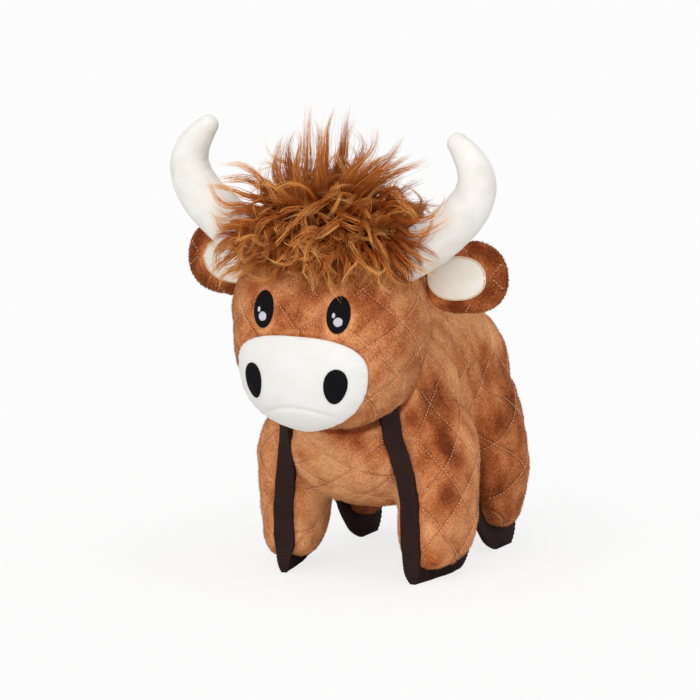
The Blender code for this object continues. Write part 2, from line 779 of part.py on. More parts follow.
def ear_rim(angle):
    middle = EAR_LENGTH * EAR_WIDEST_SHARE
    outer = abs(angle) < math.pi / 2 or angle > 3 * math.pi / 2
    c, s = superellipse(angle, EAR_TIP_POWER if outer else EAR_ROOT_POWER)
    reach = EAR_LENGTH - middle if outer else middle + EAR_EDGE
    return middle + reach * c, EAR_HALF_HEIGHT * s


def ear_half_thickness(share):
    return EAR_EDGE + (EAR_SWELL - EAR_EDGE) * (1 - share**2) ** EAR_EDGE_POWER


def ear_form(frame):
    """A lens-shaped pad between two sheets, with an edge of the fabric's own thickness."""
    middle = EAR_LENGTH * EAR_WIDEST_SHARE
    front, back = [], []
    rings = EAR_RINGS
    for i in range(rings + 1):
        share = i / rings
        half = ear_half_thickness(share)
        for j in range(EAR_SIDES if i else 1):
            a, b = ear_rim(2 * math.pi * j / EAR_SIDES)
            x, y = middle + share * (a - middle), share * b
            front.append(frame @ Vector((x, y, half)))
            back.append(frame @ Vector((x, y, -half)))
    under = len(front)
    faces = []
    for j in range(EAR_SIDES):
        after = (j + 1) % EAR_SIDES
        faces.append((0, 1 + j, 1 + after))
        faces.append((under, under + 1 + after, under + 1 + j))
        for i in range(rings - 1):
            a, b = 1 + i * EAR_SIDES, 1 + (i + 1) * EAR_SIDES
            faces.append((a + j, b + j, b + after, a + after))
            faces.append((under + a + j, under + a + after, under + b + after, under + b + j))
        last = 1 + (rings - 1) * EAR_SIDES
        faces.append((last + j, under + last + j, under + last + after, last + after))
    return front + back, faces


def make_ear(name, side, head_form, clearance):
    frame = ear_frame(side, head_form)
    form = ear_form(frame)
    ear = add_object(name, *form, finish=(BROWN, 0.95))
    boolean(ear, clearance, "DIFFERENCE")
    return frame, form


def make_lining(name, frame, form):
    tree = tree_of(form)
    front = (frame.to_3x3() @ Vector((0, 0, 1))).normalized()
    half = LINING_LENGTH / 2

    def surface(x, y):
        start = frame @ Vector((x, y, CUT_OVERRUN))
        place, _ = cast(tree, start, -front)
        return place, front

    def rim(angle):
        c, s = superellipse(angle, EAR_TIP_POWER)
        return LINING_ROOT + half + half * c, LINING_HALF_HEIGHT * s

    def thickness(share):
        return LINING_THICKNESS

    middle, grid = (LINING_ROOT + half, 0.0), (LINING_RINGS, EAR_SIDES)
    return patch(name, surface, rim, middle, grid, thickness, (WHITE, 0.95), gap=SEWN_GAP)


def make_leg(name, side, fore, torso_skin, clearance):
    points, faces = stuffed_form(leg_point(side, fore), LEG_RINGS, LEG_SIDES)
    leg = add_object(name, points, faces, finish=(BROWN, 0.95))
    boolean(leg, torso_skin, "DIFFERENCE")
    if fore:
        boolean(leg, clearance, "DIFFERENCE")
    return leg, (points, faces)


def strip_mesh(route, tree, steps, extra):
    """Seam tape along a route. Each row of the route is a point, the outward direction's angle, the half
    width and the height there. Each station is seated on the stuffed forms. extra makes it larger, to cut."""
    rows = curve_through(route, steps)
    ways = np.array([(0.0, math.cos(a), math.sin(a)) for a in np.radians(rows[:, 3])])
    places = []
    for row, way in zip(rows, ways):
        start = Vector(row[:3]) + Vector(way) * SEAT_REACH
        place = tree.ray_cast(start, -Vector(way), 2 * SEAT_REACH)[0]
        places.append(np.array(place if place else row[:3]))
    places = np.array(places)
    for _ in range(SEAT_SMOOTHINGS):
        places[1:-1] = (places[:-2] + 2 * places[1:-1] + places[2:]) / 4
    sides = []
    for i, (place, way, row) in enumerate(zip(places, ways, rows)):
        along = places[min(i + 1, steps)] - places[max(i - 1, 0)]
        side = np.cross(along, way)
        side /= np.linalg.norm(side)
        edges = []
        for end in (-1, 1):
            start = Vector(place + end * side * row[4] + way * SEAT_REACH)
            hit = tree.ray_cast(start, -Vector(way), 2 * SEAT_REACH)[0]
            edges.append(np.array(hit) if hit else place + end * side * row[4])
        across = (edges[1] - edges[0]) / np.linalg.norm(edges[1] - edges[0])
        flatness = np.clip((row[4] - FOLD_WIDTH / 2) / (TAPE_WIDTH / 2 - FOLD_WIDTH / 2), 0, 1)
        sides.append(side + flatness * (across - side))
    sides = np.array(sides)
    for _ in range(2 * SEAT_SMOOTHINGS):
        sides[1:-1] = (sides[:-2] + 2 * sides[1:-1] + sides[2:]) / 4
    points = []
    for i, (place, side, row) in enumerate(zip(places, sides, rows)):
        side = side / np.linalg.norm(side)
        way = ways[i] - side * (ways[i] @ side)
        way /= np.linalg.norm(way)
        half, height = row[4] + extra, row[5] + extra
        if i in (0, steps):
            onward = places[i] - places[abs(i - 1)]
            place = place + onward * extra / np.linalg.norm(onward)
        for u, v in (
            (-half, -TAPE_SINK),
            (half, -TAPE_SINK),
            (half, height - TAPE_CHAMFER),
            (half - TAPE_CHAMFER, height),
            (TAPE_CHAMFER - half, height),
            (-half, height - TAPE_CHAMFER),
        ):
            points.append(place + side * u + way * v)
    around = 6
    faces = [tuple(range(around)), tuple(range(steps * around, (steps + 1) * around))[::-1]]
    for i in range(steps):
        for j in range(around):
            after = (j + 1) % around
            a, b = i * around, (i + 1) * around
            faces.append((a + j, b + j, b + after, a + after))
    return points, faces


def leg_seam(side, fore, place, end):
    """The place of a leg's front seam (end -1) or back seam (end 1) at this share of its form's height."""
    return leg_point(side, fore)(place, end * math.pi / 2)


def torso_seam(side, across, along, up):
    """A place on or near the torso, from shares of its half width, half length and half height."""
    return (
        side * TORSO_HALF_WIDTH * across,
        TORSO_DEPTH + TORSO_HALF_LENGTH * along,
        TORSO_MIDDLE + TORSO_HALF_HEIGHT * up,
    )


def front_route(side):
    """From under the chin down the front seam, under the sole and up the back seam to the belly."""
    flat, fold = TAPE_WIDTH / 2, FOLD_WIDTH / 2
    rows = []
    for *shares, look in CHEST_SEAM_SHARES:
        rows.append((*torso_seam(side, *shares), look, flat, TAPE_THICKNESS))
    for place, end, look in FRONT_SEAM_SHARES:
        rows.append((*leg_seam(side, True, place, end), look, flat, TAPE_THICKNESS))
    for i, (place, end, look, share) in enumerate(FRONT_SOLE_SHARES):
        half = fold if i else (flat + fold) / 2
        rows.append((*leg_seam(side, True, place, end), look, half, KEEL_FOLD * share))
    for place, end, look in BACK_SEAM_SHARES:
        rows.append((*leg_seam(side, True, place, end), look, fold, BELLY_FOLD))
    return rows


def belly_route(side):
    """From the front leg's back seam over the belly's edge to the rear leg's front seam."""
    fold = FOLD_WIDTH / 2
    place, end, look = BACK_SEAM_SHARES[-1]
    rows = [(*leg_seam(side, True, place, end), look)]
    for *shares, look in BELLY_SEAM_SHARES:
        rows.append((*torso_seam(side, *shares), look))
    place, end, look = REAR_FRONT_SEAM_SHARES[0]
    rows.append((*leg_seam(side, False, place, end), look))
    return [(*row, fold, ARCH_FOLD) for row in rows]


def rear_route(side):
    """Down the rear leg's front seam, under the sole and up the back seam on to the rump."""
    fold = FOLD_WIDTH / 2
    rows = []
    for place, end, look in REAR_FRONT_SEAM_SHARES:
        rows.append((*leg_seam(side, False, place, end), look, fold, BELLY_FOLD))
    for place, end, look, share in REAR_SOLE_SHARES:
        rows.append((*leg_seam(side, False, place, end), look, fold, KEEL_FOLD * share))
    for place, end, look in REAR_BACK_SEAM_SHARES:
        rows.append((*leg_seam(side, False, place, end), look, fold, RUMP_FOLD))
    for *shares, look in RUMP_SEAM_SHARES:
        rows.append((*torso_seam(side, *shares), look, fold, RUMP_FOLD))
    return rows


def end_cutter(name, route, at_start):
    """A block that takes a strip's first or last stretch, so that it stops short of the strip it follows."""
    rows = np.array(route, float)[:, :3]
    end, inner = (rows[0], rows[1]) if at_start else (rows[-1], rows[-2])
    away = (end - inner) / np.linalg.norm(end - inner)
    turn = Vector((0, 0, 1)).rotation_difference(Vector(away)).to_matrix().to_4x4()
    corners = [
        (x, y, z)
        for z in (-TAPE_END_GAP, CUT_OVERRUN)
        for x, y in ((-1, -1), (1, -1), (1, 1), (-1, 1))
    ]
    frame = Matrix.Translation(end) @ turn
    points = [frame @ Vector((x * TAPE_WIDTH, y * TAPE_WIDTH, z)) for x, y, z in corners]
    faces = [(0, 1, 2, 3), (4, 5, 6, 7), (0, 1, 5, 4), (1, 2, 6, 5), (2, 3, 7, 6), (3, 0, 4, 7)]
    return as_cutter(add_object(name, points, faces))


def make_bindings(word, side, leg_forms, torso_form, skins, floor):
    """The binding of one side, as three lengths that meet end to end. The forms cut their undersides."""
    tree = tree_of(torso_form, *leg_forms)
    belly = belly_route(side)
    ends = [
        end_cutter(f"belly_start_{word}", belly, True),
        end_cutter(f"belly_end_{word}", belly, False),
    ]
    for key, route, steps in (
        ("front", front_route(side), FRONT_BINDING_STEPS),
        ("rear", rear_route(side), REAR_BINDING_STEPS),
    ):
        tape = add_object(
            f"binding_{key}_{word}", *strip_mesh(route, tree, steps, 0.0), finish=(DARK_BROWN, 0.85)
        )
        for cutter in (*skins, floor):
            boolean(tape, cutter, "DIFFERENCE")
        mesh = strip_mesh(route, tree, steps, TAPE_END_GAP)
        ends.append(as_cutter(add_object(f"{key}_binding_skin_{word}", *mesh)))
    mesh = strip_mesh(belly, tree, BELLY_BINDING_STEPS, 0.0)
    tape = add_object(f"binding_belly_{word}", *mesh, finish=(DARK_BROWN, 0.85))
    for cutter in (*skins, *ends):
        boolean(tape, cutter, "DIFFERENCE")


def make_forelock(head_form, head_skin, horn_skins):
    """A tousled cap of fur, thick over the crown and thin at its rim, which ends in locks."""
    tree = tree_of(head_form)
    eye = Vector((0.0, FORELOCK_EYE_DEPTH, FORELOCK_EYE_HEIGHT))
    side = math.radians(FORELOCK_SIDE_DEG)
    front, back = math.radians(FORELOCK_FRONT_DEG), math.radians(FORELOCK_BACK_DEG)
    inner, outer = [], []
    for i in range(FORELOCK_RINGS + 1):
        share = i / FORELOCK_RINGS
        for j in range(FORELOCK_SIDES if i else 1):
            around = 2 * math.pi * j / FORELOCK_SIDES
            across, ahead = math.cos(around), math.sin(around)
            reach = math.hypot(side * across, (front if ahead > 0 else back) * ahead)
            lock = (j % 3 - 1) * FORELOCK_LOCK_SHARE * share**3
            theta = share * reach * (1 + lock)
            way = Vector((math.sin(theta) * across, -math.sin(theta) * ahead, math.cos(theta)))
            place, _ = cast(tree, eye, way)
            wave = math.sin(FORELOCK_TOUSLES * around + FORELOCK_TWIST * share)
            tousle = 1 + FORELOCK_TOUSLE_SHARE * wave * math.sin(math.pi * share)
            lean = max(0.0, ahead) * FORELOCK_LEAN_SHARE
            thick = FORELOCK_FRINGE + (FORELOCK_CROWN - FORELOCK_FRINGE) * (1 - share**2) ** (1 - lean)
            inner.append(place - way * PAD_SINK)
            outer.append(place + way * thick * tousle)
    under = len(outer)
    faces = []
    sides = FORELOCK_SIDES
    for j in range(sides):
        after = (j + 1) % sides
        faces.append((0, 1 + j, 1 + after))
        faces.append((under, under + 1 + after, under + 1 + j))
        for i in range(FORELOCK_RINGS - 1):
            a, b = 1 + i * sides, 1 + (i + 1) * sides
            faces.append((a + j, b + j, b + after, a + after))
            faces.append((under + a + j, under + a + after, under + b + after, under + b + j))
        last = 1 + (FORELOCK_RINGS - 1) * sides
        faces.append((last + j, under + last + j, under + last + after, last + after))
    forelock = add_object("forelock", outer + inner, faces, finish=(FUR, 0.8))
    for skin in (head_skin, *horn_skins):
        boolean(forelock, skin, "DIFFERENCE")
    return forelock


def tail_line():
    """The tail's centre line, from inside the rump out and down behind it."""
    rump = TORSO_DEPTH + TORSO_HALF_LENGTH
    knots = [
        (0.0, rump + TAIL_STANDOFF * out, TAIL_ROOT_HEIGHT - TAIL_LENGTH * down)
        for out, down in TAIL_LINE_SHARES
    ]
    return curve_through(knots, TAIL_STEPS)


def make_tail(torso_skin):
    line = tail_line()
    across = np.array((1.0, 0.0, 0.0))
    points, faces = [line[0]], []
    for i, place in enumerate(line):
        along = line[min(i + 1, TAIL_STEPS)] - line[max(i - 1, 0)]
        up = np.cross(across, along / np.linalg.norm(along))
        for j in range(TAIL_SIDES):
            angle = 2 * math.pi * j / TAIL_SIDES
            points.append(place + TAIL_RADIUS * (math.cos(angle) * across + math.sin(angle) * up))
    points.append(line[-1])
    for j in range(TAIL_SIDES):
        after = (j + 1) % TAIL_SIDES
        faces.append((0, 1 + after, 1 + j))
        for i in range(TAIL_STEPS):
            a, b = 1 + i * TAIL_SIDES, 1 + (i + 1) * TAIL_SIDES
            faces.append((a + j, a + after, b + after, b + j))
        last = 1 + TAIL_STEPS * TAIL_SIDES
        faces.append((last + j, last + after, len(points) - 1))
    tail = add_object("tail", points, faces, finish=(BROWN, 0.95))
    boolean(tail, torso_skin, "DIFFERENCE")
    return tail


def make_tuft():
    """A drop of fur sewn to the end of the tail."""
    line = tail_line()
    end = line[-1]
    along = (line[-1] - line[-2]) / np.linalg.norm(line[-1] - line[-2])
    across = np.array((1.0, 0.0, 0.0))
    up = np.cross(across, along)
    start = end + along * SEAM_GAP

    def ring_at(place, angle):
        share = (place + 1) / 2
        radius = TUFT_RADIUS * math.sqrt(max(0.0, 1 - place**2)) * (1 - TUFT_DROP_SHARE * place)
        around = math.cos(angle) * across + math.sin(angle) * up
        return start + along * TUFT_LENGTH * share + around * radius

    form = stuffed_form(ring_at, TUFT_RINGS, TUFT_SIDES)
    return add_object("tail_tuft", *form, finish=(FUR, 0.8))


def floor_cutter():
    """Everything under z = 0, which cuts the keels of the binding flat."""
    reach = 2 * (TORSO_DEPTH + TORSO_HALF_LENGTH)
    corners = [
        (x * reach, y * reach, z * CUT_OVERRUN)
        for z in (-1, 0)
        for x, y in ((-1, -1), (1, -1), (1, 1), (-1, 1))
    ]
    faces = [(0, 1, 2, 3), (4, 5, 6, 7), (0, 1, 5, 4), (1, 2, 6, 5), (2, 3, 7, 6), (3, 0, 4, 7)]
    return as_cutter(add_object("floor", corners, faces))


def centre_over_origin():
    """Moves everything so that the middle of the shown solids' box is over the origin."""
    graph = bpy.context.evaluated_depsgraph_get()
    backs = []
    for obj in bpy.data.objects:
        if not obj.hide_render:
            backs += [v.co.y for v in obj.evaluated_get(graph).data.vertices]
    middle = (min(backs) + max(backs)) / 2
    for obj in bpy.data.objects:
        obj.data.transform(Matrix.Translation((0.0, -middle, 0.0)))


def build():
    clear_scene()
    torso_form = stuffed_form(torso_point, TORSO_RINGS, TORSO_SIDES)
    head_form = stuffed_form(head_point, HEAD_RINGS, HEAD_SIDES)
    head_skin = as_cutter(add_object("head_skin", grown(*head_form, SEAM_GAP), head_form[1]))
    ear_clearance = as_cutter(
        add_object("ear_clearance", grown(*head_form, EAR_CLEARANCE), head_form[1])
    )
    torso_skin = as_cutter(add_object("torso_skin", grown(*torso_form, SEAM_GAP), torso_form[1]))
    floor = floor_cutter()
    make_torso(torso_form, head_form)
    clearance = bpy.data.objects["head_clearance"]
    make_head(head_form)
    make_squeaker()
    muzzle = make_muzzle(head_form, head_skin)
    head_tree = tree_of(head_form)
    muzzle_tree = tree_from_object(muzzle)
    horn_skins = []
    for word, side in (("left", 1), ("right", -1)):
        make_eye(f"eye_{word}", side, head_tree)
        make_nostril(f"nostril_{word}", side, muzzle_tree)
        make_horn(f"horn_{word}", side, head_skin)
        horn_skins.append(as_cutter(add_object(f"horn_skin_{word}", *horn_mesh(side, SEWN_GAP))))
        frame, form = make_ear(f"ear_{word}", side, head_form, ear_clearance)
        make_lining(f"ear_lining_{word}", frame, form)
        leg_forms, skins = [], [torso_skin, clearance]
        for end, fore in (("front", True), ("rear", False)):
            _, form = make_leg(f"{end}_leg_{word}", side, fore, torso_skin, clearance)
            leg_forms.append(form)
            leg_skin = add_object(f"{end}_leg_skin_{word}", grown(*form, SEAM_GAP), form[1])
            skins.append(as_cutter(leg_skin))
        make_bindings(word, side, leg_forms, torso_form, skins, floor)
    make_forelock(head_form, head_skin, horn_skins)
    make_tail(torso_skin)
    make_tuft()
    centre_over_origin()


build()
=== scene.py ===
"""The plush cow of the photograph: quilted plush over stuffing, taped seams, flannel horns and long fur.

Lengths are in metres, +Z is up, and the cow faces -Y. Depths are measured back from the nose, as the part's own
are; each piece is moved into the row frame when it is placed on its body.
"""

import math

import bmesh
import bpy
import numpy as np
from mathutils import Matrix, Vector
from mathutils.bvhtree import BVHTree


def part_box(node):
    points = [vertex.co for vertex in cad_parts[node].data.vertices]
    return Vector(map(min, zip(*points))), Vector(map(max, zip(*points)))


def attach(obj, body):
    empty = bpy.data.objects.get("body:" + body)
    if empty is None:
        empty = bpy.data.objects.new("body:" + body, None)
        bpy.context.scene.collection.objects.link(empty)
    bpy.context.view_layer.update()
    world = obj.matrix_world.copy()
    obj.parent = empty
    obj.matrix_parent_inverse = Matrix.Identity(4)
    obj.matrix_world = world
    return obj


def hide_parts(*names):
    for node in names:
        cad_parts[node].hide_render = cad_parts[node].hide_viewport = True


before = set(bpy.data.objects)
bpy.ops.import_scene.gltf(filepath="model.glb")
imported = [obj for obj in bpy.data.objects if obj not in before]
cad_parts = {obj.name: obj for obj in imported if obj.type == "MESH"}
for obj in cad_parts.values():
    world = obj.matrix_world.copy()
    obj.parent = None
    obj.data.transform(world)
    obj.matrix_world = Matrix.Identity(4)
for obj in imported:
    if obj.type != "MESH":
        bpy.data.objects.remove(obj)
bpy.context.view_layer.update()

# ---------------------------------------------------------------- forms, as in the part
TORSO_DEPTH, TORSO_HALF_LENGTH = 0.1620, 0.0990
TORSO_HALF_WIDTH, TORSO_HALF_HEIGHT, TORSO_MIDDLE = 0.0570, 0.0640, 0.1110
TORSO_POWER, TORSO_END_POWER = 2.5, 2.85
TORSO_SHARES = (
    (-1.0, 1.00, 0.86, -0.19),
    (-0.7, 1.02, 1.01, -0.08),
    (-0.3, 0.96, 1.08, -0.03),
    (0.1, 0.91, 1.00, -0.02),
    (0.5, 1.01, 0.97, -0.03),
    (0.8, 1.06, 1.00, -0.05),
    (1.0, 1.02, 1.00, -0.07),
)
SIDES = (("left", 1), ("right", -1))
NECK_DEPTH, NECK_HEIGHT, NECK_RADIUS, NECK_SLACK, NOD_DEG = 0.0950, 0.1400, 0.0340, 0.0006, 8.0
NECK = (0.0, NECK_DEPTH, NECK_HEIGHT)
HEAD_DEPTH, HEAD_MIDDLE, HEAD_HALF_WIDTH, HEAD_HALF_HEIGHT = 0.0600, 0.1695, 0.0632, 0.0635
HEAD_FRONT_REACH, HEAD_BACK_REACH, HEAD_POWER = 0.0535, 0.0570, 2.4
HEAD_SHARES = (
    (-1.0, 1.00, 1.24, 0.90),
    (-0.7, 0.97, 1.14, 0.94),
    (-0.4, 0.96, 1.03, 0.98),
    (0.0, 0.99, 0.95, 1.00),
    (0.3, 1.02, 0.90, 1.00),
    (0.7, 1.05, 0.84, 1.00),
    (1.0, 1.00, 0.84, 0.96),
)
MUZZLE_EYE_DEPTH, MUZZLE_EYE_HEIGHT, MUZZLE_SWELL, MUZZLE_EDGE = 0.0440, 0.1430, 0.0085, 0.0022
MUZZLE_SIDE_DEG, MUZZLE_RISE, MUZZLE_BOTTOM_DEG = 62.0, 0.0297, 66.0
MUZZLE_TOP_POWER, MUZZLE_BOTTOM_POWER, MUZZLE_EDGE_POWER = 3.2, 1.8, 0.75
EYE_SIDE, EYE_HEIGHT, EYE_HALF_WIDTH, EYE_HALF_HEIGHT = 0.0262, 0.1876, 0.0075, 0.0117
NOSTRIL_SIDE, NOSTRIL_HEIGHT, NOSTRIL_HALF_WIDTH, NOSTRIL_HALF_HEIGHT = 0.0285, 0.1430, 0.0069, 0.0114
NOSTRIL_LEAN_DEG, NOSTRIL_TAPER = 8.0, 0.14
HORN_DEPTH, HORN_BASE_SIDE, HORN_BASE_HEIGHT = 0.0630, 0.0360, 0.2080
HORN_SPREAD, HORN_RISE, HORN_RADIUS, HORN_TIP_RADIUS, HORN_TAPER = 0.0653, 0.0875, 0.0158, 0.0070, 3.9
HORN_LINE_SHARES = (
    (0.00, 0.00),
    (0.33, 0.16),
    (0.64, 0.33),
    (0.86, 0.48),
    (0.97, 0.61),
    (1.00, 0.73),
    (0.96, 0.84),
    (0.88, 0.93),
    (0.80, 1.00),
)
EAR_DEPTH, EAR_ROOT_HEIGHT, EAR_LENGTH, EAR_HALF_HEIGHT = 0.0812, 0.2030, 0.0545, 0.0235
EAR_SWELL, EAR_EDGE, EAR_TILT_DEG, EAR_SWEEP_DEG = 0.0048, 0.0016, 5.0, 6.0
EAR_ROOT_POWER, EAR_TIP_POWER, EAR_WIDEST = 3.2, 2.2, 0.55
EAR_CROSSING, EAR_LEAN = 0.044, 0.9
LINING_LENGTH, LINING_HALF_HEIGHT, LINING_THICKNESS, LINING_ROOT = 0.0380, 0.0135, 0.0011, 0.0016
# Legs: depth, side, top, keel, half width, reach, toe-in, toe rise, heel rise, sole power, top power, shares.
FRONT_LEG = (
    0.1170, 0.0500, 0.1300, 0.0065, 0.0235, 0.0330, 10.0, 0.0, 0.0180, 5.0, 2.3,
    (
        (-1.0, 0.86, 1.04, 1.12, 0.02),
        (-0.6, 0.92, 0.98, 1.06, 0.02),
        (-0.2, 1.00, 0.98, 0.96, 0.02),
        (0.3, 1.05, 1.12, 1.00, -0.06),
        (0.7, 1.00, 1.20, 1.10, -0.40),
        (1.0, 0.85, 1.20, 1.10, -0.80),
    ),
)
REAR_LEG = (
    0.2110, 0.0485, 0.1350, 0.0105, 0.0215, 0.0320, 0.0, 0.0140, 0.0, 3.2, 2.1,
    (
        (-1.0, 0.92, 0.96, 1.00, 0.00),
        (-0.6, 0.95, 0.94, 0.98, 0.00),
        (-0.2, 1.00, 1.00, 0.96, 0.00),
        (0.3, 0.96, 1.15, 0.88, -0.10),
        (0.7, 1.06, 1.25, 0.96, -0.40),
        (1.0, 1.00, 1.25, 0.90, -0.70),
    ),
)
TAPE_WIDTH, TAPE_THICKNESS, FOLD_WIDTH = 0.0125, 0.0020, 0.0032
BELLY_FOLD, ARCH_FOLD, RUMP_FOLD, TAPE_SINK = 0.0085, 0.0070, 0.0080, 0.0040
SEAT_REACH, KEEL_FOLD = 0.0120, 0.0190
FLAT, FOLD = TAPE_WIDTH / 2, FOLD_WIDTH / 2
RIB_PITCH, RIB_HEIGHT, TAPE_NAP, TAPE_ROLL = 0.0014, 0.00018, 0.0004, 0.0014
CHEST_SEAM = ((0.614, -0.927, 0.134, 170), (0.667, -0.904, -0.231, 180), (0.737, -0.857, -0.597, 185))
FRONT_SEAM = ((-0.30, -1, 185), (-0.58, -1, 185), (-0.80, -1, 188))
FRONT_SOLE = (
    (-0.925, -1, 210, 0.47),
    (-0.985, -1, 232, 0.68),
    (-0.9995, -1, 268, 0.60),
    (-0.994, 1, 275, 0.79),
    (-0.955, 1, 288, 0.97),
    (-0.860, 1, 325, 0.58),
)
BACK_SEAM = ((-0.72, 1, 345), (-0.60, 1, 350), (-0.48, 1, 350))
BELLY_SEAM = ((0.920, -0.038, -0.806, 318), (0.800, 0.047, -0.743, 270), (0.834, 0.111, -0.785, 222))
REAR_FRONT_SEAM = ((-0.48, -1, 190), (-0.66, -1, 190), (-0.82, -1, 205))
REAR_SOLE = (
    (-0.95, -1, 245, 0.47),
    (-0.995, -1, 262, 0.61),
    (-0.9995, 1, 270, 0.74),
    (-0.985, 1, 282, 0.90),
    (-0.93, 1, 310, 0.90),
)
REAR_BACK_SEAM = ((-0.80, 1, 350), (-0.55, 1, 360), (-0.25, 1, 360))
RUMP_SEAM = ((0.851, 0.836, -0.553, 362), (0.817, 0.857, -0.321, 365))
FUR_HEIGHT = 0.2220  # Above this the forelock covers the head.
FORELOCK_EYE = Vector((0.0, 0.0640, 0.1780))
CROWN_DEPTH, STRAND_RADIUS, GOLDEN_ANGLE = 0.062, 0.00034, 2.399963
FORELOCK_SIDE_DEG, FORELOCK_FRONT_DEG, FORELOCK_BACK_DEG = 50.0, 60.0, 62.0
TAIL_ROOT_HEIGHT, TAIL_RADIUS, TAIL_LENGTH, TAIL_STANDOFF = 0.1380, 0.0065, 0.0520, 0.0120
TAIL_LINE_SHARES = (
    (-1.50, -0.05),
    (0.10, -0.03),
    (0.80, 0.12),
    (1.00, 0.38),
    (1.00, 0.70),
    (0.95, 1.00),
)
TUFT_LENGTH, TUFT_RADIUS = 0.0340, 0.0105

# The nose is at depth 0 here, and the back of the torso tells where that is in the row frame.
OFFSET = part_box("torso")[1].y - TORSO_DEPTH - TORSO_HALF_LENGTH


def shares_at(rows, place):
    """The row of shares at this place, on a smooth curve through the rows."""
    table = np.asarray(rows, float)
    places, values = table[:, 0], table[:, 1:]
    slopes = np.gradient(values, places, axis=0)
    i = int(np.clip(np.searchsorted(places, place) - 1, 0, len(places) - 2))
    span = places[i + 1] - places[i]
    s = (place - places[i]) / span
    return (
        (1 + 2 * s) * (1 - s) ** 2 * values[i]
        + s * (1 - s) ** 2 * span * slopes[i]
        + s**2 * (3 - 2 * s) * values[i + 1]
        + s**2 * (s - 1) * span * slopes[i + 1]
    )


def rounded(place, power):
    return max(0.0, 1 - abs(place) ** power) ** (1 / power)


def superellipse(angle, power):
    c, s = math.cos(angle), math.sin(angle)
    return math.copysign(abs(c) ** (2 / power), c), math.copysign(abs(s) ** (2 / power), s)


def ringed(rings, sides):
    """The faces of a closed form of rings of points between a first and a last point."""
    faces = []
    for j in range(sides):
        after = (j + 1) % sides
        faces.append((0, 1 + after, 1 + j))
        for i in range(rings - 1):
            a, b = 1 + i * sides, 1 + (i + 1) * sides
            faces.append((a + j, a + after, b + after, b + j))
        last = 1 + (rings - 1) * sides
        faces.append((last + j, last + after, last + sides))
    return faces


def stuffed_form(ring_at, rings, sides):
    points = [ring_at(-1.0, 0.0)]
    for i in range(1, rings):
        place = -math.cos(math.pi * i / rings)
        points += [ring_at(place, 2 * math.pi * j / sides) for j in range(sides)]
    points.append(ring_at(1.0, 0.0))
    return np.array(points), ringed(rings - 1, sides)


def torso_point(place, angle):
    width, height, rise = shares_at(TORSO_SHARES, place)
    swell = rounded(place, TORSO_END_POWER)
    c, s = superellipse(angle, TORSO_POWER)
    return (
        TORSO_HALF_WIDTH * width * swell * c,
        TORSO_DEPTH + TORSO_HALF_LENGTH * place,
        TORSO_MIDDLE + TORSO_HALF_HEIGHT * (rise + height * swell * s),
    )


def head_point(place, angle):
    width, front, back = shares_at(HEAD_SHARES, place)
    swell = rounded(place, HEAD_POWER)
    c, s = superellipse(angle, HEAD_POWER)
    reach = HEAD_BACK_REACH * back if s > 0 else HEAD_FRONT_REACH * front
    return (
        HEAD_HALF_WIDTH * width * swell * c,
        HEAD_DEPTH + reach * swell * s,
        HEAD_MIDDLE + HEAD_HALF_HEIGHT * place,
    )


def leg_point(side, fore):
    back, across, top, keel, half_width, reach, turn, toe, heel, sole, crest, rows = FRONT_LEG if fore else REAR_LEG
    turn, half_height = math.radians(turn), (top - keel) / 2

    def point(place, angle):
        width, front, rear, shift = shares_at(rows, place)
        swell = rounded(place, sole if place < 0 else crest)
        c, s = superellipse(angle, crest)
        u = half_width * (shift + width * swell * c)
        v = reach * (rear if s > 0 else front) * swell * s
        low, aft = (1 - place) / 2, (1 + v / reach) / 2
        lift = low * (heel * max(0.0, aft) ** 3 + toe * max(0.0, 1 - aft) ** 2)
        return (
            side * (across + u * math.cos(turn) + v * math.sin(turn)),
            back + v * math.cos(turn) - u * math.sin(turn),
            keel + half_height * (place + 1) + lift,
        )

    return point


def outward(points, faces):
    normals = np.zeros_like(points)
    middle = points.mean(axis=0)
    for face in faces:
        corners = points[list(face)]
        normal = np.cross(corners[1] - corners[0], corners[-1] - corners[0])
        if normal @ (corners.mean(axis=0) - middle) < 0:
            normal = -normal
        normals[list(face)] += normal
    return normals / np.linalg.norm(normals, axis=1)[:, None]


def merged(forms):
    points, faces = [], []
    for form_points, form_faces in forms:
        start = len(points)
        points += [tuple(p) for p in form_points]
        faces += [tuple(start + i for i in face) for face in form_faces]
    return points, faces


def tree_of(*forms):
    return BVHTree.FromPolygons(*merged(forms))


def cast(tree, origin, direction):
    place, normal, _, _ = tree.ray_cast(Vector(origin), Vector(direction).normalized())
    return place, normal


def unit(vectors, least=0.0):
    """The vector, or each of them, at length 1."""
    size = np.linalg.norm(vectors) if vectors.ndim == 1 else np.linalg.norm(vectors, axis=-1)[..., None]
    return vectors / (size + least)


def apart_from(points, place):
    return np.linalg.norm(points - np.array(place), axis=1)


# ---------------------------------------------------------------- meshes
def linked(name, data):
    obj = bpy.data.objects.new(name, data)
    bpy.context.scene.collection.objects.link(obj)
    return obj


def from_bmesh(name, made):
    mesh = bpy.data.meshes.new(name)
    made.to_mesh(mesh)
    made.free()
    return linked(name, mesh)


def add_object(name, points, faces):
    mesh = bpy.data.meshes.new(name)
    mesh.from_pydata([tuple(p) for p in points], [], faces)
    work = bmesh.new()
    work.from_mesh(mesh)
    bmesh.ops.recalc_face_normals(work, faces=work.faces)
    work.to_mesh(mesh)
    work.free()
    return linked(name, mesh)


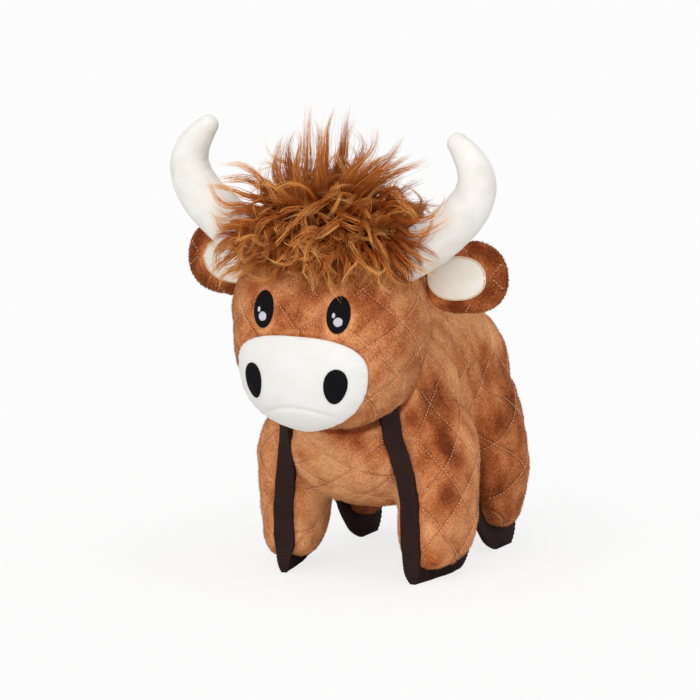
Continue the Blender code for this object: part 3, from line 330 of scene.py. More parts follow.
def many_shells(name, points, faces):
    """An object of many small closed shells. points is shells by points by 3, and the triangles are one shell's."""
    count, each, _ = points.shape
    corners = (np.array(faces)[None] + (np.arange(count) * each)[:, None, None]).reshape(-1)
    mesh = bpy.data.meshes.new(name)
    mesh.vertices.add(count * each)
    mesh.vertices.foreach_set("co", np.asarray(points, np.float32).ravel())
    mesh.loops.add(len(corners))
    mesh.loops.foreach_set("vertex_index", corners.astype(np.int32))
    mesh.polygons.add(len(corners) // 3)
    mesh.polygons.foreach_set("loop_start", np.arange(len(corners) // 3, dtype=np.int32) * 3)
    mesh.update(calc_edges=True)
    return linked(name, mesh)


def prism(rings, sides):
    """The triangles between rings of points, each with the next."""
    faces = []
    for i in range(rings - 1):
        for j in range(sides):
            a, b = i * sides + j, i * sides + (j + 1) % sides
            faces += [(a, b, b + sides), (a, b + sides, a + sides)]
    return faces


def disc(rings, sides):
    """The faces of a disc with an upper and an under side, each of rings of points round a first one."""
    under = 1 + rings * sides
    faces = []
    for j in range(sides):
        after = (j + 1) % sides
        faces.append((0, 1 + j, 1 + after))
        faces.append((under, under + 1 + after, under + 1 + j))
        for i in range(rings - 1):
            a, b = 1 + i * sides, 1 + (i + 1) * sides
            faces.append((a + j, b + j, b + after, a + after))
            faces.append((under + a + j, under + a + after, under + b + after, under + b + j))
        last = 1 + (rings - 1) * sides
        faces.append((last + j, under + last + j, under + last + after, last + after))
    return faces


def disc_steps(rings, sides):
    """The share of the way out and the angle of each point of a disc's side."""
    return [(i / rings, 2 * math.pi * j / sides) for i in range(rings + 1) for j in range(sides if i else 1)]


def baked(obj):
    graph = bpy.context.evaluated_depsgraph_get()
    mesh = bpy.data.meshes.new_from_object(obj.evaluated_get(graph))
    obj.modifiers.clear()
    obj.data = mesh
    return obj


def cut(obj, other):
    step = obj.modifiers.new("cut", "BOOLEAN")
    step.operation, step.solver, step.object = "DIFFERENCE", "EXACT", other
    return baked(obj)


def drop(*objs):
    for obj in objs:
        bpy.data.objects.remove(obj, do_unlink=True)


def arrays(obj):
    """The points and their normals."""
    mesh = obj.data
    co, normals = (np.empty(len(mesh.vertices) * 3, np.float32) for _ in range(2))
    mesh.vertices.foreach_get("co", co)
    mesh.vertices.foreach_get("normal", normals)
    return co.reshape(-1, 3).astype(float), normals.reshape(-1, 3).astype(float)


def form_of(obj):
    return arrays(obj)[0], [tuple(p.vertices) for p in obj.data.polygons]


def joined(name, objs):
    form = merged([form_of(obj) for obj in objs])
    drop(*objs)
    return add_object(name, *form)


def skin_of(obj, voxel):
    """One fine closed skin over everything in the object."""
    step = obj.modifiers.new("skin", "REMESH")
    step.mode, step.voxel_size = "VOXEL", voxel
    ease = obj.modifiers.new("ease", "SMOOTH")
    ease.factor, ease.iterations = 0.5, 3
    fine = obj.modifiers.new("fine", "SUBSURF")
    fine.levels = fine.render_levels = 1
    return baked(obj)


def move(obj, points):
    obj.data.vertices.foreach_set("co", np.asarray(points, np.float32).ravel())
    obj.data.update()


def attribute(obj, name, values):
    made = obj.data.attributes.new(name, "FLOAT", "POINT")
    made.data.foreach_set("value", np.asarray(values, np.float32))


def smoothstep(low, high, x):
    t = np.clip((x - low) / (high - low), 0, 1)
    return t * t * (3 - 2 * t)


def waves(points, length, seed):
    """Smooth noise with this wave length, about -1 to 1."""
    count = 14
    rng = np.random.default_rng(seed)
    ways = unit(rng.normal(size=(count, 3)))
    ways *= (2 * np.pi / length) * rng.uniform(0.6, 1.4, (count, 1))
    phases = rng.uniform(0, 2 * np.pi, count)
    return np.sin(points @ ways.T + phases).sum(axis=1) / math.sqrt(count / 2)


def layered(points, *layers):
    """The sum of layers of smooth noise: each is strength, wave length and seed."""
    return sum(strength * waves(points, length, seed) for strength, length, seed in layers)


def line_at(apart, reach):
    """1 on a line or a spot, and fading out over this reach."""
    return np.exp(-((apart / reach) ** 2))


def spots(points, places):
    """Soft spots at these places: each is x, depth, height, reach and strength."""
    total = np.zeros(len(points))
    for x, y, z, reach, strength in places:
        apart = ((points - np.array((x, y, z))) ** 2).sum(axis=1)
        total += strength * np.exp(-apart / reach**2)
    return total


# ---------------------------------------------------------------- materials
def node_setup(name, roughness, values=()):
    """A material, its node tree and its shader, with these values on the shader's own sockets."""
    made = bpy.data.materials.new(name)
    made.use_nodes = True
    tree = made.node_tree
    shader = tree.nodes["Principled BSDF"]
    for key, value in (("Roughness", roughness), ("Specular IOR Level", 0.15), *values):
        shader.inputs[key].default_value = value
    return made, tree, shader


def add(tree, kind, **settings):
    made = tree.nodes.new(kind)
    for key, value in settings.items():
        if key in made.inputs:
            made.inputs[key].default_value = value
        else:
            setattr(made, key, value)
    return made


def given(tree, name):
    """The value that each point of the mesh carries under this name."""
    return add(tree, "ShaderNodeAttribute", attribute_name=name).outputs["Fac"]


def place_of(tree, turn=(0.0, 0.0, 0.0)):
    coordinates = add(tree, "ShaderNodeTexCoord")
    mapping = add(tree, "ShaderNodeMapping", Rotation=turn)
    tree.links.new(coordinates.outputs["Object"], mapping.inputs["Vector"])
    return mapping.outputs["Vector"]


def noise_of(tree, scale, detail=2.0, roughness=0.5):
    made = add(tree, "ShaderNodeTexNoise", Scale=scale, Detail=detail, Roughness=roughness)
    tree.links.new(place_of(tree), made.inputs["Vector"])
    return made.outputs["Fac"]


def wave_of(tree, scale, turn, distortion):
    made = add(tree, "ShaderNodeTexWave", Scale=scale, Distortion=distortion, Detail=2.0)
    tree.links.new(place_of(tree, turn), made.inputs["Vector"])
    return made.outputs["Fac"]


def ramp(tree, source, *stops):
    made = add(tree, "ShaderNodeValToRGB")
    elements = made.color_ramp.elements
    while len(elements) < len(stops):
        elements.new(0.5)
    for element, (place, colour) in zip(elements, stops):
        element.position, element.color = place, (*colour, 1.0)
    tree.links.new(source, made.inputs["Fac"])
    return made.outputs["Color"]


def maths(tree, operation, a, b):
    made = add(tree, "ShaderNodeMath", operation=operation)
    for i, value in enumerate((a, b)):
        if isinstance(value, (int, float)):
            made.inputs[i].default_value = value
        else:
            tree.links.new(value, made.inputs[i])
    return made.outputs["Value"]


def plus(tree, a, b):
    return maths(tree, "ADD", a, b)


def times(tree, a, b):
    return maths(tree, "MULTIPLY", a, b)


def about_zero(tree, noise, share):
    """Noise of 0 to 1 moved to lie about zero, times a share."""
    return times(tree, maths(tree, "SUBTRACT", noise, 0.5), share)


def coloured(tree, shader, source, *stops):
    tree.links.new(ramp(tree, source, *stops), shader.inputs["Base Color"])


def bump(tree, shader, height, strength, distance):
    made = add(tree, "ShaderNodeBump", Strength=strength, Distance=distance)
    tree.links.new(height, made.inputs["Height"])
    tree.links.new(made.outputs["Normal"], shader.inputs["Normal"])


def srgb(r, g, b):
    return tuple(((c / 255 + 0.055) / 1.055) ** 2.4 if c > 10 else c / 255 / 12.92 for c in (r, g, b))


def plush():
    """Short brown pile. shade says how far it is brushed the dark way, and it also carries painted shade in the
    quilting grooves, the flank folds, beside the seams and over the rear flank.
    """
    sheen = (("Sheen Weight", 0.25), ("Sheen Roughness", 0.45), ("Sheen Tint", (*srgb(240, 178, 124), 1.0)))
    made, tree, shader = node_setup("short brown plush", 0.95, sheen)
    mottle, grain = noise_of(tree, 75.0, 6.0, 0.68), noise_of(tree, 850.0, 3.0, 0.75)
    mixed = plus(tree, given(tree, "shade"), about_zero(tree, mottle, 0.46))
    mixed = plus(tree, mixed, about_zero(tree, grain, 1.30))
    light, middle, dark, darkest = srgb(246, 184, 128), srgb(226, 151, 99), srgb(194, 110, 60), srgb(122, 54, 23)
    coloured(tree, shader, mixed, (0.0, light), (0.30, middle), (0.58, dark), (1.0, darkest))
    bump(tree, shader, plus(tree, grain, mottle), 0.6, 0.0008)
    return made


def flannel(name, light, dark, woven=0.35):
    """A brushed cloth. woven says how much of its weave shows."""
    made, tree, shader = node_setup(name, 0.92, (("Sheen Weight", 0.15),))
    warp, weft = (wave_of(tree, 330.0, (0.0, turn, 0.0), 0.6) for turn in (0.0, 1.5708))
    weave = times(tree, warp, weft)
    cloud, fuzz = noise_of(tree, 55.0, 3.0), noise_of(tree, 1100.0, 3.0)
    mixed = plus(tree, times(tree, weave, woven), times(tree, cloud, 1 - woven))
    coloured(tree, shader, mixed, (0.2, dark), (0.6, light))
    bump(tree, shader, plus(tree, times(tree, weave, 2.5 * woven), fuzz), 0.45, 0.0004)
    return made


def satin(name, colour, glint, scale):
    """Satin stitch: fine threads side by side."""
    made, tree, shader = node_setup(name, 0.7, (("Specular IOR Level", 0.12),))
    threads = wave_of(tree, scale, (0.0, 0.6, 0.0), 0.8)
    coloured(tree, shader, threads, (0.1, colour), (0.9, glint))
    bump(tree, shader, threads, 0.8, 0.0004)
    return made


def grosgrain():
    """Ribbed tape. rib says where its cross ribs stand, and each rib's crest is painted lighter, a painted highlight.
    """
    made, tree, shader = node_setup("dark brown grosgrain", 0.8, (("Specular IOR Level", 0.3),))
    fine, cloud, rib = noise_of(tree, 1800.0, 3.0), noise_of(tree, 90.0), given(tree, "rib")
    mixed = plus(tree, times(tree, fine, 0.5), times(tree, cloud, 0.5))
    # Lighter on the rib crests: painted highlight.
    mixed = plus(tree, mixed, times(tree, rib, 0.40))
    coloured(tree, shader, mixed, (0.35, srgb(16, 7, 6)), (0.95, srgb(54, 29, 24)))
    bump(tree, shader, plus(tree, fine, rib), 0.5, 0.0004)
    return made


def fur():
    """Long fur: dark at the root, golden towards the tip, each strand with a tone of its own: partly the fur's own
    colour, partly painted shade deep in the mass and painted highlight on the tips and paler strands.
    """
    gloss = (("Specular IOR Level", 0.35), ("Specular Tint", (1.0, 0.80, 0.58, 1.0)))
    made, tree, shader = node_setup("long golden brown fur", 0.5, gloss)
    # Dark roots to golden tips: partly the fur's own colour, partly painted shade deep in the mass and painted
    # highlight on the tips.
    root, low, high, tip = srgb(116, 40, 5), srgb(168, 74, 20), srgb(218, 132, 60), srgb(236, 166, 98)
    mix = add(tree, "ShaderNodeMix", data_type="RGBA", blend_type="MULTIPLY", Factor=1.0)
    # The dullest tint is painted shade for strands deep in the mass; the golden one is partly painted highlight on the
    # outer locks.
    shaded_dull, plain, golden = (0.48, 0.36, 0.25), (0.96, 0.88, 0.76), (1.46, 2.10, 2.90)
    colours = (
        ramp(tree, given(tree, "along"), (0.0, root), (0.3, low), (0.65, high), (1.0, tip)),
        ramp(tree, given(tree, "tone"), (0.0, shaded_dull), (0.55, plain), (1.0, golden)),
    )
    for socket, colour in zip((6, 7), colours):
        tree.links.new(colour, mix.inputs[socket])
    tree.links.new(mix.outputs[2], shader.inputs["Base Color"])
    bump(tree, shader, noise_of(tree, 900.0), 0.2, 0.0002)
    return made


def thread(name, colour):
    made, tree, shader = node_setup(name, 0.6)
    twist = noise_of(tree, 2500.0, 1.0)
    coloured(tree, shader, twist, (0.3, tuple(c * 0.75 for c in colour)), (0.7, colour))
    bump(tree, shader, twist, 0.3, 0.0002)
    return made


PLUSH = plush()
WHITE_FLANNEL = flannel("white flannel", srgb(252, 251, 248), srgb(240, 237, 231))
HORN_FLEECE = flannel("white horn fleece", srgb(249, 247, 241), srgb(234, 228, 217), 0.0)
CREAM_FLANNEL = flannel("cream ear flannel", srgb(248, 243, 233), srgb(232, 224, 209), 0.1)
BLACK_SATIN = satin("black satin stitch", srgb(3, 3, 4), srgb(22, 22, 27), 300.0)
SHINE_SATIN = satin("lilac white satin stitch", srgb(222, 218, 236), srgb(246, 244, 252), 560.0)
GROSGRAIN = grosgrain()
FUR = fur()
CREAM_THREAD = thread("cream thread", srgb(255, 214, 172))
EDGE_THREAD = thread("ivory thread", srgb(244, 218, 172))


def place_piece(obj, body, finish, stands_for=(), smooth=True):
    """Moves a finished mesh into the row frame and on to its body."""
    obj.data.transform(Matrix.Translation((0.0, OFFSET, 0.0)))
    obj.data.materials.clear()
    obj.data.materials.append(finish)
    if smooth:
        obj.data.shade_smooth()
    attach(obj, body)
    if stands_for:
        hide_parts(*stands_for)
    return obj


# ---------------------------------------------------------------- seam routes and binding
# A row of a route is a place, the way it looks, the tape's half width there and its height.
def on_torso(side, rows, half, height):
    return [
        (
            side * TORSO_HALF_WIDTH * across,
            TORSO_DEPTH + TORSO_HALF_LENGTH * along,
            TORSO_MIDDLE + TORSO_HALF_HEIGHT * up,
            look,
            half,
            height,
        )
        for across, along, up, look in rows
    ]


def on_leg(side, fore, rows, half, height):
    point = leg_point(side, fore)
    return [(*point(place, end * math.pi / 2), look, half, height) for place, end, look in rows]


def on_sole(side, fore, rows, first_half):
    route = []
    for i, (*row, share) in enumerate(rows):
        route += on_leg(side, fore, [row], FOLD if i else first_half, KEEL_FOLD * share)
    return route


def front_route(side):
    return (
        on_torso(side, CHEST_SEAM, FLAT, TAPE_THICKNESS)
        + on_leg(side, True, FRONT_SEAM, FLAT, TAPE_THICKNESS)
        + on_sole(side, True, FRONT_SOLE, (FLAT + FOLD) / 2)
        + on_leg(side, True, BACK_SEAM, FOLD, BELLY_FOLD)
    )


def belly_route(side):
    return (
        on_leg(side, True, BACK_SEAM[-1:], FOLD, ARCH_FOLD)
        + on_torso(side, BELLY_SEAM, FOLD, ARCH_FOLD)
        + on_leg(side, False, REAR_FRONT_SEAM[:1], FOLD, ARCH_FOLD)
    )


def rear_route(side):
    return (
        on_leg(side, False, REAR_FRONT_SEAM, FOLD, BELLY_FOLD)
        + on_sole(side, False, REAR_SOLE, FOLD)
        + on_leg(side, False, REAR_BACK_SEAM, FOLD, RUMP_FOLD)
        + on_torso(side, RUMP_SEAM, FOLD, RUMP_FOLD)
    )


def curve_rows(points, steps):
    """Rows on a smooth curve through the points, at even steps of their length."""
    knots = np.array(points, float)
    runs = np.linalg.norm(np.diff(knots[:, :3], axis=0), axis=1)
    lengths = np.concatenate([[0], np.cumsum(runs)])
    rows = np.column_stack([lengths / lengths[-1], knots])
    return np.array([shares_at(rows, i / steps) for i in range(steps + 1)])


def ease(rows, rounds):
    for _ in range(rounds):
        rows[1:-1] = (rows[:-2] + 2 * rows[1:-1] + rows[2:]) / 4


def seated(route, tree, steps):
    """Places, sideways directions, outward directions, half widths and heights of a strip seated on the forms."""

    def seat(start, way, place):
        """Where the forms lie under this start, or else the place."""
        hit = tree.ray_cast(Vector(start), -Vector(way), 2 * SEAT_REACH)[0]
        return np.array(hit if hit else place)

    rows = curve_rows(route, steps)
    ways = np.array([(0.0, math.cos(a), math.sin(a)) for a in np.radians(rows[:, 3])])
    places = np.array(
        [seat(Vector(row[:3]) + Vector(way) * SEAT_REACH, way, row[:3]) for row, way in zip(rows, ways)]
    )
    ease(places, 3)
    sides = []
    for i, (place, way, row) in enumerate(zip(places, ways, rows)):
        side = unit(np.cross(places[min(i + 1, steps)] - places[max(i - 1, 0)], way))
        ends = [place + end * side * row[4] for end in (-1, 1)]
        edges = [seat(end + way * SEAT_REACH, way, end) for end in ends]
        flatness = np.clip((row[4] - FOLD) / (FLAT - FOLD), 0, 1)
        sides.append(side + flatness * (unit(edges[1] - edges[0]) - side))
    sides = np.array(sides)
    ease(sides, 6)
    return np.column_stack([places, sides, ways, rows[:, 4:6]])


def ribbed_tape(name, stations):
    """Grosgrain tape: cross ribs, a line of stitching near each edge, rolled edges, and a keel flat on the floor."""
    length = np.linalg.norm(np.diff(stations[:, :3], axis=0), axis=1).sum()
    steps = int(length / RIB_PITCH * 4)
    fine = curve_rows(stations, steps)
    # Points round the tape: share of its half width, share of its height, and how much the ribs show.
    profile = [(-1.0, -1.0, 0.0), (1.0, -1.0, 0.0)]
    profile += [(1.0, 0.55, 0.0), (1.0, 0.80, 0.0), (0.97, 0.93, 0.3), (0.90, 0.99, 0.6), (0.78, 0.97, 0.6)]
    profile += [(0.70, 0.93, 0.3), (0.62, 0.99, 1.0), (0.35, 1.04, 1.0), (0.0, 1.06, 1.0)]
    profile += [(-a, b, c) for a, b, c in profile[-2:1:-1]]
    around = len(profile)
    points, ribs = [], []
    for i, row in enumerate(fine):
        place, side, way, half, height = row[:3], unit(row[3:6]), row[6:9], row[9], row[10] + TAPE_NAP
        way = unit(way - side * (way @ side))
        flat = smoothstep(FOLD, FLAT, half)
        rib = math.sin(math.pi * i / 2)
        for u, v, weight in profile:
            if v < 0:
                up = -TAPE_SINK
            else:
                dome = TAPE_THICKNESS * (v - 1) if v > 0.9 else -(1 - v) * TAPE_ROLL
                up = height + dome * (0.4 + 0.6 * flat) + RIB_HEIGHT * rib * max(weight, 0.4 if v > 0.5 else 0)
            sway = 0.0003 * math.sin(i * 0.031) + 0.00018 * math.sin(i * 0.117 + 1)
            point = place + side * (u * (half + 0.0002 * rib * (v > 0.5)) + sway) + way * up
            points.append((point[0], point[1], max(point[2], 0.00005)))
            ribs.append(0.5 + 0.5 * rib)
    total = len(fine)
    i, j = np.meshgrid(np.arange(total - 1), np.arange(around), indexing="ij")
    a, after = i * around + j, i * around + (j + 1) % around
    quads = np.stack([a, after, after + around, a + around], axis=-1).reshape(-1, 4)
    ends = [tuple(range(around)), tuple(range((total - 1) * around, total * around))[::-1]]
    tape = add_object(name, points, [tuple(q) for q in quads] + ends)
    attribute(tape, "rib", ribs)
    return tape


# ---------------------------------------------------------------- quilting
def body_pattern(points, routes):
    """Two families of lines on the outer panels, two on the gusset, and which of them each point lies on."""
    x, y, z = np.abs(points[:, 0]), points[:, 1], points[:, 2]
    lean = 0.7 * (1 - 2 * smoothstep(0.150, 0.215, y))
    s = y + lean * (x - 0.055) - 0.0995
    t = z + 0.7 * smoothstep(0.130, 0.172, z) * (0.055 - x) - 0.1172
    outer = (s / 0.042 + t / 0.0405, s / 0.042 - t / 0.0405)
    fall = z - 0.5 * (y - 0.063)
    gusset = ((fall - 0.80 * points[:, 0] - 0.0938) / 0.030, (fall + 0.58 * points[:, 0] - 0.112) / 0.030)
    near = np.full(len(points), 1e9)
    seam_x = np.zeros(len(points))
    for route in routes:
        for place in route:
            apart = (x - place[0]) ** 2 + (y - place[1]) ** 2 + (z - place[2]) ** 2
            closer = apart < near
            near[closer] = apart[closer]
            seam_x[closer] = place[0]
    limit = np.where(y < 0.12, 0.125, 0.094)
    inner = (x < seam_x) & (z < limit)
    return outer, gusset, inner, np.sqrt(near)


def grooves(first, second, reach_first, reach_second):
    """How far each point is from its nearest line of stitching."""
    a = np.abs(first - np.round(first)) * reach_first
    b = np.abs(second - np.round(second)) * reach_second
    return np.minimum(a, b)


def puffed(apart):
    """How far the quilting stands out, at this distance from its stitching."""
    return -0.0007 * line_at(apart, 0.0016) + 0.0004 * (1 - line_at(apart, 0.0090))


def triangles(obj, chosen):
    """The triangles that have all their corners among the chosen points."""
    mesh = obj.data
    mesh.calc_loop_triangles()
    corners = np.empty(len(mesh.loop_triangles) * 3, np.int32)
    mesh.loop_triangles.foreach_get("vertices", corners)
    corners = corners.reshape(-1, 3)
    return corners[chosen[corners].all(axis=1)]


def pile(name, obj, shades, keep, count, seed, length=0.0014):
    """Short pile over the chosen points: a closed spike for each fibre, leaning down the nap, as light or dark
    as the fabric under it."""
    corners = triangles(obj, keep)
    points, normals = arrays(obj)
    a, b, c = (points[corners[:, k]] for k in range(3))
    area = np.linalg.norm(np.cross(b - a, c - a), axis=1)
    rng = np.random.default_rng(seed)
    corners = corners[rng.choice(len(corners), count, p=area / area.sum())]
    u, v = rng.uniform(0, 1, (2, count))
    u, v = np.where(u + v > 1, 1 - u, u), np.where(u + v > 1, 1 - v, v)
    weights = np.stack([1 - u - v, u, v], axis=1)
    place = (points[corners] * weights[..., None]).sum(axis=1)
    normal = unit((normals[corners] * weights[..., None]).sum(axis=1))
    swirl = 0.9 * waves(place, 0.045, seed)
    nap = np.stack([0.5 * np.sin(swirl), 0.6 * np.cos(swirl), np.full(count, -0.8)], axis=1)
    nap -= normal * (nap * normal).sum(axis=1)[:, None]
    way = unit(normal * 0.75 + nap + rng.normal(0, 0.28, (count, 3)))
    side = unit(np.cross(way, normal), 1e-9)
    other = np.cross(way, side)
    thick = rng.uniform(0.00013, 0.00022, (count, 1))
    base = place - normal * 0.0003
    rings = [base + thick * (math.cos(t) * side + math.sin(t) * other) for t in (0.0, 2.094, 4.189)]
    rings.append(place + way * (length * rng.uniform(0.55, 1.2, (count, 1))))
    made = many_shells(name, np.stack(rings, axis=1), [(0, 2, 1), (0, 1, 3), (1, 2, 3), (2, 0, 3)])
    tuft = np.sin(np.floor(place / 0.0013) @ np.array((12.9898, 78.233, 37.719))) * 43758.5453
    tones = (shades[corners] * weights).sum(axis=1) + rng.normal(0, 0.13, count)
    tones = tones + 0.34 * (tuft - np.floor(tuft) - 0.5)
    attribute(made, "shade", np.clip(np.repeat(tones, 4) - np.tile((0.0, 0.0, 0.0, 0.12), count), 0, 1))
    return made


def isolines(obj, field, chosen):
    """Chains of places and outward directions where the field passes whole numbers, over the chosen points."""
    corners = triangles(obj, chosen)
    points, normals = arrays(obj)
    values = field[corners]
    level = np.ceil(values.min(axis=1))
    crossed = level <= values.max(axis=1)
    links, spots_of = {}, {}
    for tri, value, k in zip(corners[crossed], values[crossed], level[crossed]):
        keys = []
        for a, b in ((0, 1), (1, 2), (2, 0)):
            fa, fb = value[a] - k, value[b] - k
            if (fa < 0) != (fb < 0):
                low, high = sorted((int(tri[a]), int(tri[b])))
                key = (low, high, int(k))
                if key not in spots_of:
                    share = (k - field[low]) / (field[high] - field[low])
                    spots_of[key] = np.concatenate(
                        [rows[low] + share * (rows[high] - rows[low]) for rows in (points, normals)]
                    )
                keys.append(key)
        if len(keys) == 2:
            links.setdefault(keys[0], []).append(keys[1])
            links.setdefault(keys[1], []).append(keys[0])
    chains, seen = [], set()
    for start in sorted(links, key=lambda key: (len(links[key]), key)):
        if start in seen:
            continue
        chain, key = [], start
        while key is not None:
            seen.add(key)
            chain.append(spots_of[key])
            key = next((other for other in links[key] if other not in seen), None)
        if len(chain) > 3:
            chains.append(np.array(chain))
    return chains


def stitches(name, chains, pitch=0.0024, length=0.0014, radius=0.00026, rise=0.0007):
    """Short stitches along the chains, each a small closed shell that dips into the fabric at both ends."""
    starts, ends, ups = [], [], []
    for chain in chains:
        runs = np.linalg.norm(np.diff(chain[:, :3], axis=0), axis=1)
        at = np.concatenate([[0], np.cumsum(runs)])
        for i in range(int(at[-1] / pitch)):
            low = (i + 0.5) * pitch
            if low + length < at[-1]:
                first, last = (np.array([np.interp(d, at, chain[:, c]) for c in range(6)]) for d in (low, low + length))
                starts.append(first[:3])
                ends.append(last[:3])
                ups.append(first[3:] + last[3:])
    starts, along, ups = np.array(starts), np.array(ends) - np.array(starts), unit(np.array(ups))
    side = unit(np.cross(along, ups))
    rings = []
    bow = ((0.0, -0.9, 0.55), (0.15, 0.2, 0.9), (0.5, 0.7, 1.0), (0.85, 0.2, 0.9), (1.0, -0.9, 0.55))
    for share, lift, thick in bow:
        centre = starts + along * share + ups * (rise + radius * lift)
        for angle in (0.0, 1.2566, 2.5133, 3.7699, 5.0265):
            rings.append(centre + radius * thick * (math.cos(angle) * side + math.sin(angle) * ups))
    faces = prism(5, 5)
    for base, order in ((0, 1), (20, -1)):
        faces += [(base, base + j + 1, base + j)[::order] for j in (1, 2, 3)]
    return many_shells(name, np.stack(rings, axis=1), faces)


# ---------------------------------------------------------------- body
torso_form = stuffed_form(torso_point, 60, 90)
head_form = stuffed_form(head_point, 60, 90)
leg_forms = {(side, fore): stuffed_form(leg_point(side, fore), 48, 54) for side in (1, -1) for fore in (True, False)}
head_tree = tree_of(head_form)


def nod_clearance(points, faces):
    """The head's form, grown by its own travel through the nod and some slack."""
    normals = outward(points, faces)
    arms = points - np.array(NECK)
    moves = np.stack([np.zeros(len(arms)), -arms[:, 2], arms[:, 1]], axis=1)
    travel = math.radians(NOD_DEG) * np.abs((moves * normals).sum(axis=1))
    return points + normals * (NECK_SLACK + travel + 0.0006)[:, None]


def ball(name, radius):
    """A ball at the neck."""
    made = bmesh.new()
    bmesh.ops.create_uvsphere(made, u_segments=64, v_segments=32, radius=radius)
    bmesh.ops.translate(made, verts=made.verts, vec=NECK)
    return from_bmesh(name, made)


def gaps(tree, points):
    return np.array([tree.find_nearest(Vector(p))[3] for p in points])


clearance = add_object("clearance", nod_clearance(*head_form), head_form[1])
shells = [cut(add_object("shell", *torso_form), clearance)]
for (side, fore), form in leg_forms.items():
    shell = add_object("shell", *form)
    shells.append(cut(shell, clearance) if fore else shell)
shells.append(ball("neck", NECK_RADIUS - 0.0008))
drop(clearance)
body = skin_of(joined("body_skin", shells), 0.0020)

routes = {}
for side in (1, -1):
    tree = tree_of(torso_form, leg_forms[(side, True)], leg_forms[(side, False)])
    routes[side] = [
        seated(front_route(side), tree, 34),
        seated(belly_route(side), tree, 10),
        seated(rear_route(side), tree, 26),
    ]
seams = [curve_rows(part[:, :3], 90) for part in routes[1]]

points, normals = arrays(body)
outer, gusset, inner, seam = body_pattern(points, seams)
apart = np.where(inner, grooves(*gusset, 0.0234, 0.0259), grooves(*outer, 0.0292, 0.0292))
y, z = points[:, 1], points[:, 2]
free = smoothstep(NECK_RADIUS + 0.002, NECK_RADIUS + 0.008, apart_from(points, NECK))
open_to_head = smoothstep(0.004, 0.016, gaps(head_tree, points))
held = 1 - line_at(seam, 0.008)
folds = 0.65 - np.abs(np.sin(np.pi * (y + 0.8 * z + 0.004 * waves(points, 0.05, 3)) / 0.021)) ** 0.55
window = smoothstep(0.100, 0.125, y) * (1 - smoothstep(0.170, 0.195, y)) * smoothstep(0.098, 0.122, z)
lumps = layered(points, (0.0003, 0.035, 5), (0.00015, 0.012, 6))
lift = puffed(apart) * held + lumps - 0.0032 * folds * window - 0.0011 * (1 - held) - 0.0009
points += normals * (lift * free * open_to_head)[:, None]
points[:, 2] = np.maximum(points[:, 2], 0.004)
move(body, points)
trunk_forms = [form_of(body)]
RUMP = TORSO_DEPTH + TORSO_HALF_LENGTH
tail_gap = apart_from(points, (0.0, RUMP, TAIL_ROOT_HEIGHT))
# Where the pile is brushed dark: x, depth, height, reach and strength of each spot.
BLOTCHES = (
    (0.0520, 0.1046, 0.1289, 0.017, 0.48),
    (0.0548, 0.1154, 0.1155, 0.012, 0.38),
    (0.0540, 0.0990, 0.1140, 0.013, 0.30),
    (0.0612, 0.0960, 0.0954, 0.012, 0.48),
    (0.0707, 0.1035, 0.0820, 0.009, 0.60),
    (0.0650, 0.0965, 0.0930, 0.008, 0.50),
    (0.0672, 0.0956, 0.0562, 0.011, 0.70),
    (0.0532, 0.0827, 0.0804, 0.007, 0.35),
    (0.0452, 0.0847, 0.1089, 0.008, 0.45),
    (0.0616, 0.1033, 0.1037, 0.006, 0.35),
    (0.0742, 0.1150, 0.0664, 0.006, 0.30),
    (0.0568, 0.0922, 0.0130, 0.009, 0.45),
    (0.0163, 0.0641, 0.0965, 0.008, 0.60),
    (0.0310, 0.0707, 0.0886, 0.009, 0.45),
    (0.0057, 0.0671, 0.1016, 0.009, 0.45),
    (-0.0255, 0.0685, 0.0831, 0.006, 0.30),
    (-0.0342, 0.0901, 0.0566, 0.006, 0.25),
    (0.0540, 0.2138, 0.1197, 0.010, 0.35),
    (0.0630, 0.2063, 0.1024, 0.009, 0.45),
    (0.0639, 0.1914, 0.0897, 0.008, 0.35),
    (0.0619, 0.1898, 0.0464, 0.008, 0.30),
    (0.0498, 0.1551, 0.1374, 0.009, 0.30),
    (0.0506, 0.1922, 0.1371, 0.007, 0.30),
)
soft = layered(points, (0.5, 0.030, 11), (0.5, 0.016, 12))
low = 1 - smoothstep(0.085, 0.125, z)
shade = 0.19 + 0.09 * low * ~inner - 0.07 * inner * (y < 0.120) + 0.13 * soft
# The last term darkens the quilting lines: painted shade in their grooves.
shade = shade + spots(points, BLOTCHES) + 0.18 * line_at(apart, 0.0013)
# Darker over the rear flank and rump: partly the plush's own tone, partly painted shade.
shade += 0.28 * smoothstep(0.140, 0.185, y) * (1 - smoothstep(0.128, 0.150, z))
# Darker beside the seam tapes, where the skin sinks, and in the flank folds: painted shade.
shade = np.clip(shade + 0.20 * (1 - held) + 0.34 * np.clip(folds, 0, 1) * window, 0, 1)
attribute(body, "shade", shade)
threads = []
for fields, chosen in ((outer, ~inner & (seam > 0.0065)), (gusset, inner & (seam > 0.0065))):
    chosen &= (open_to_head > 0.2) & (free > 0.5) & (z > 0.012) & (tail_gap > 0.016)
    for field in fields:
        threads += isolines(body, field, chosen)
place_piece(stitches("quilt_stitches_body", threads), "body", CREAM_THREAD)
keep = (open_to_head > 0.1) & (free > 0.5) & (seam > 0.0045) & (z > 0.009) & (apart > 0.0005) & (tail_gap > 0.017)
place_piece(pile("pile_body", body, shade, keep, 150000, 71), "body", PLUSH, smooth=False)
names = ["torso"] + [f"{end}_leg_{word}" for end in ("front", "rear") for word in ("left", "right")]
place_piece(body, "body", PLUSH, names)
for word, side in SIDES:
    for key, stations in zip(("front", "belly", "rear"), routes[side]):
        tape = ribbed_tape(f"seam_tape_{key}_{word}", stations)
        trunk_forms.append(form_of(tape))
        place_piece(tape, "body", GROSGRAIN, [f"binding_{key}_{word}"])
trunk_trees = [tree_of(form) for form in trunk_forms]


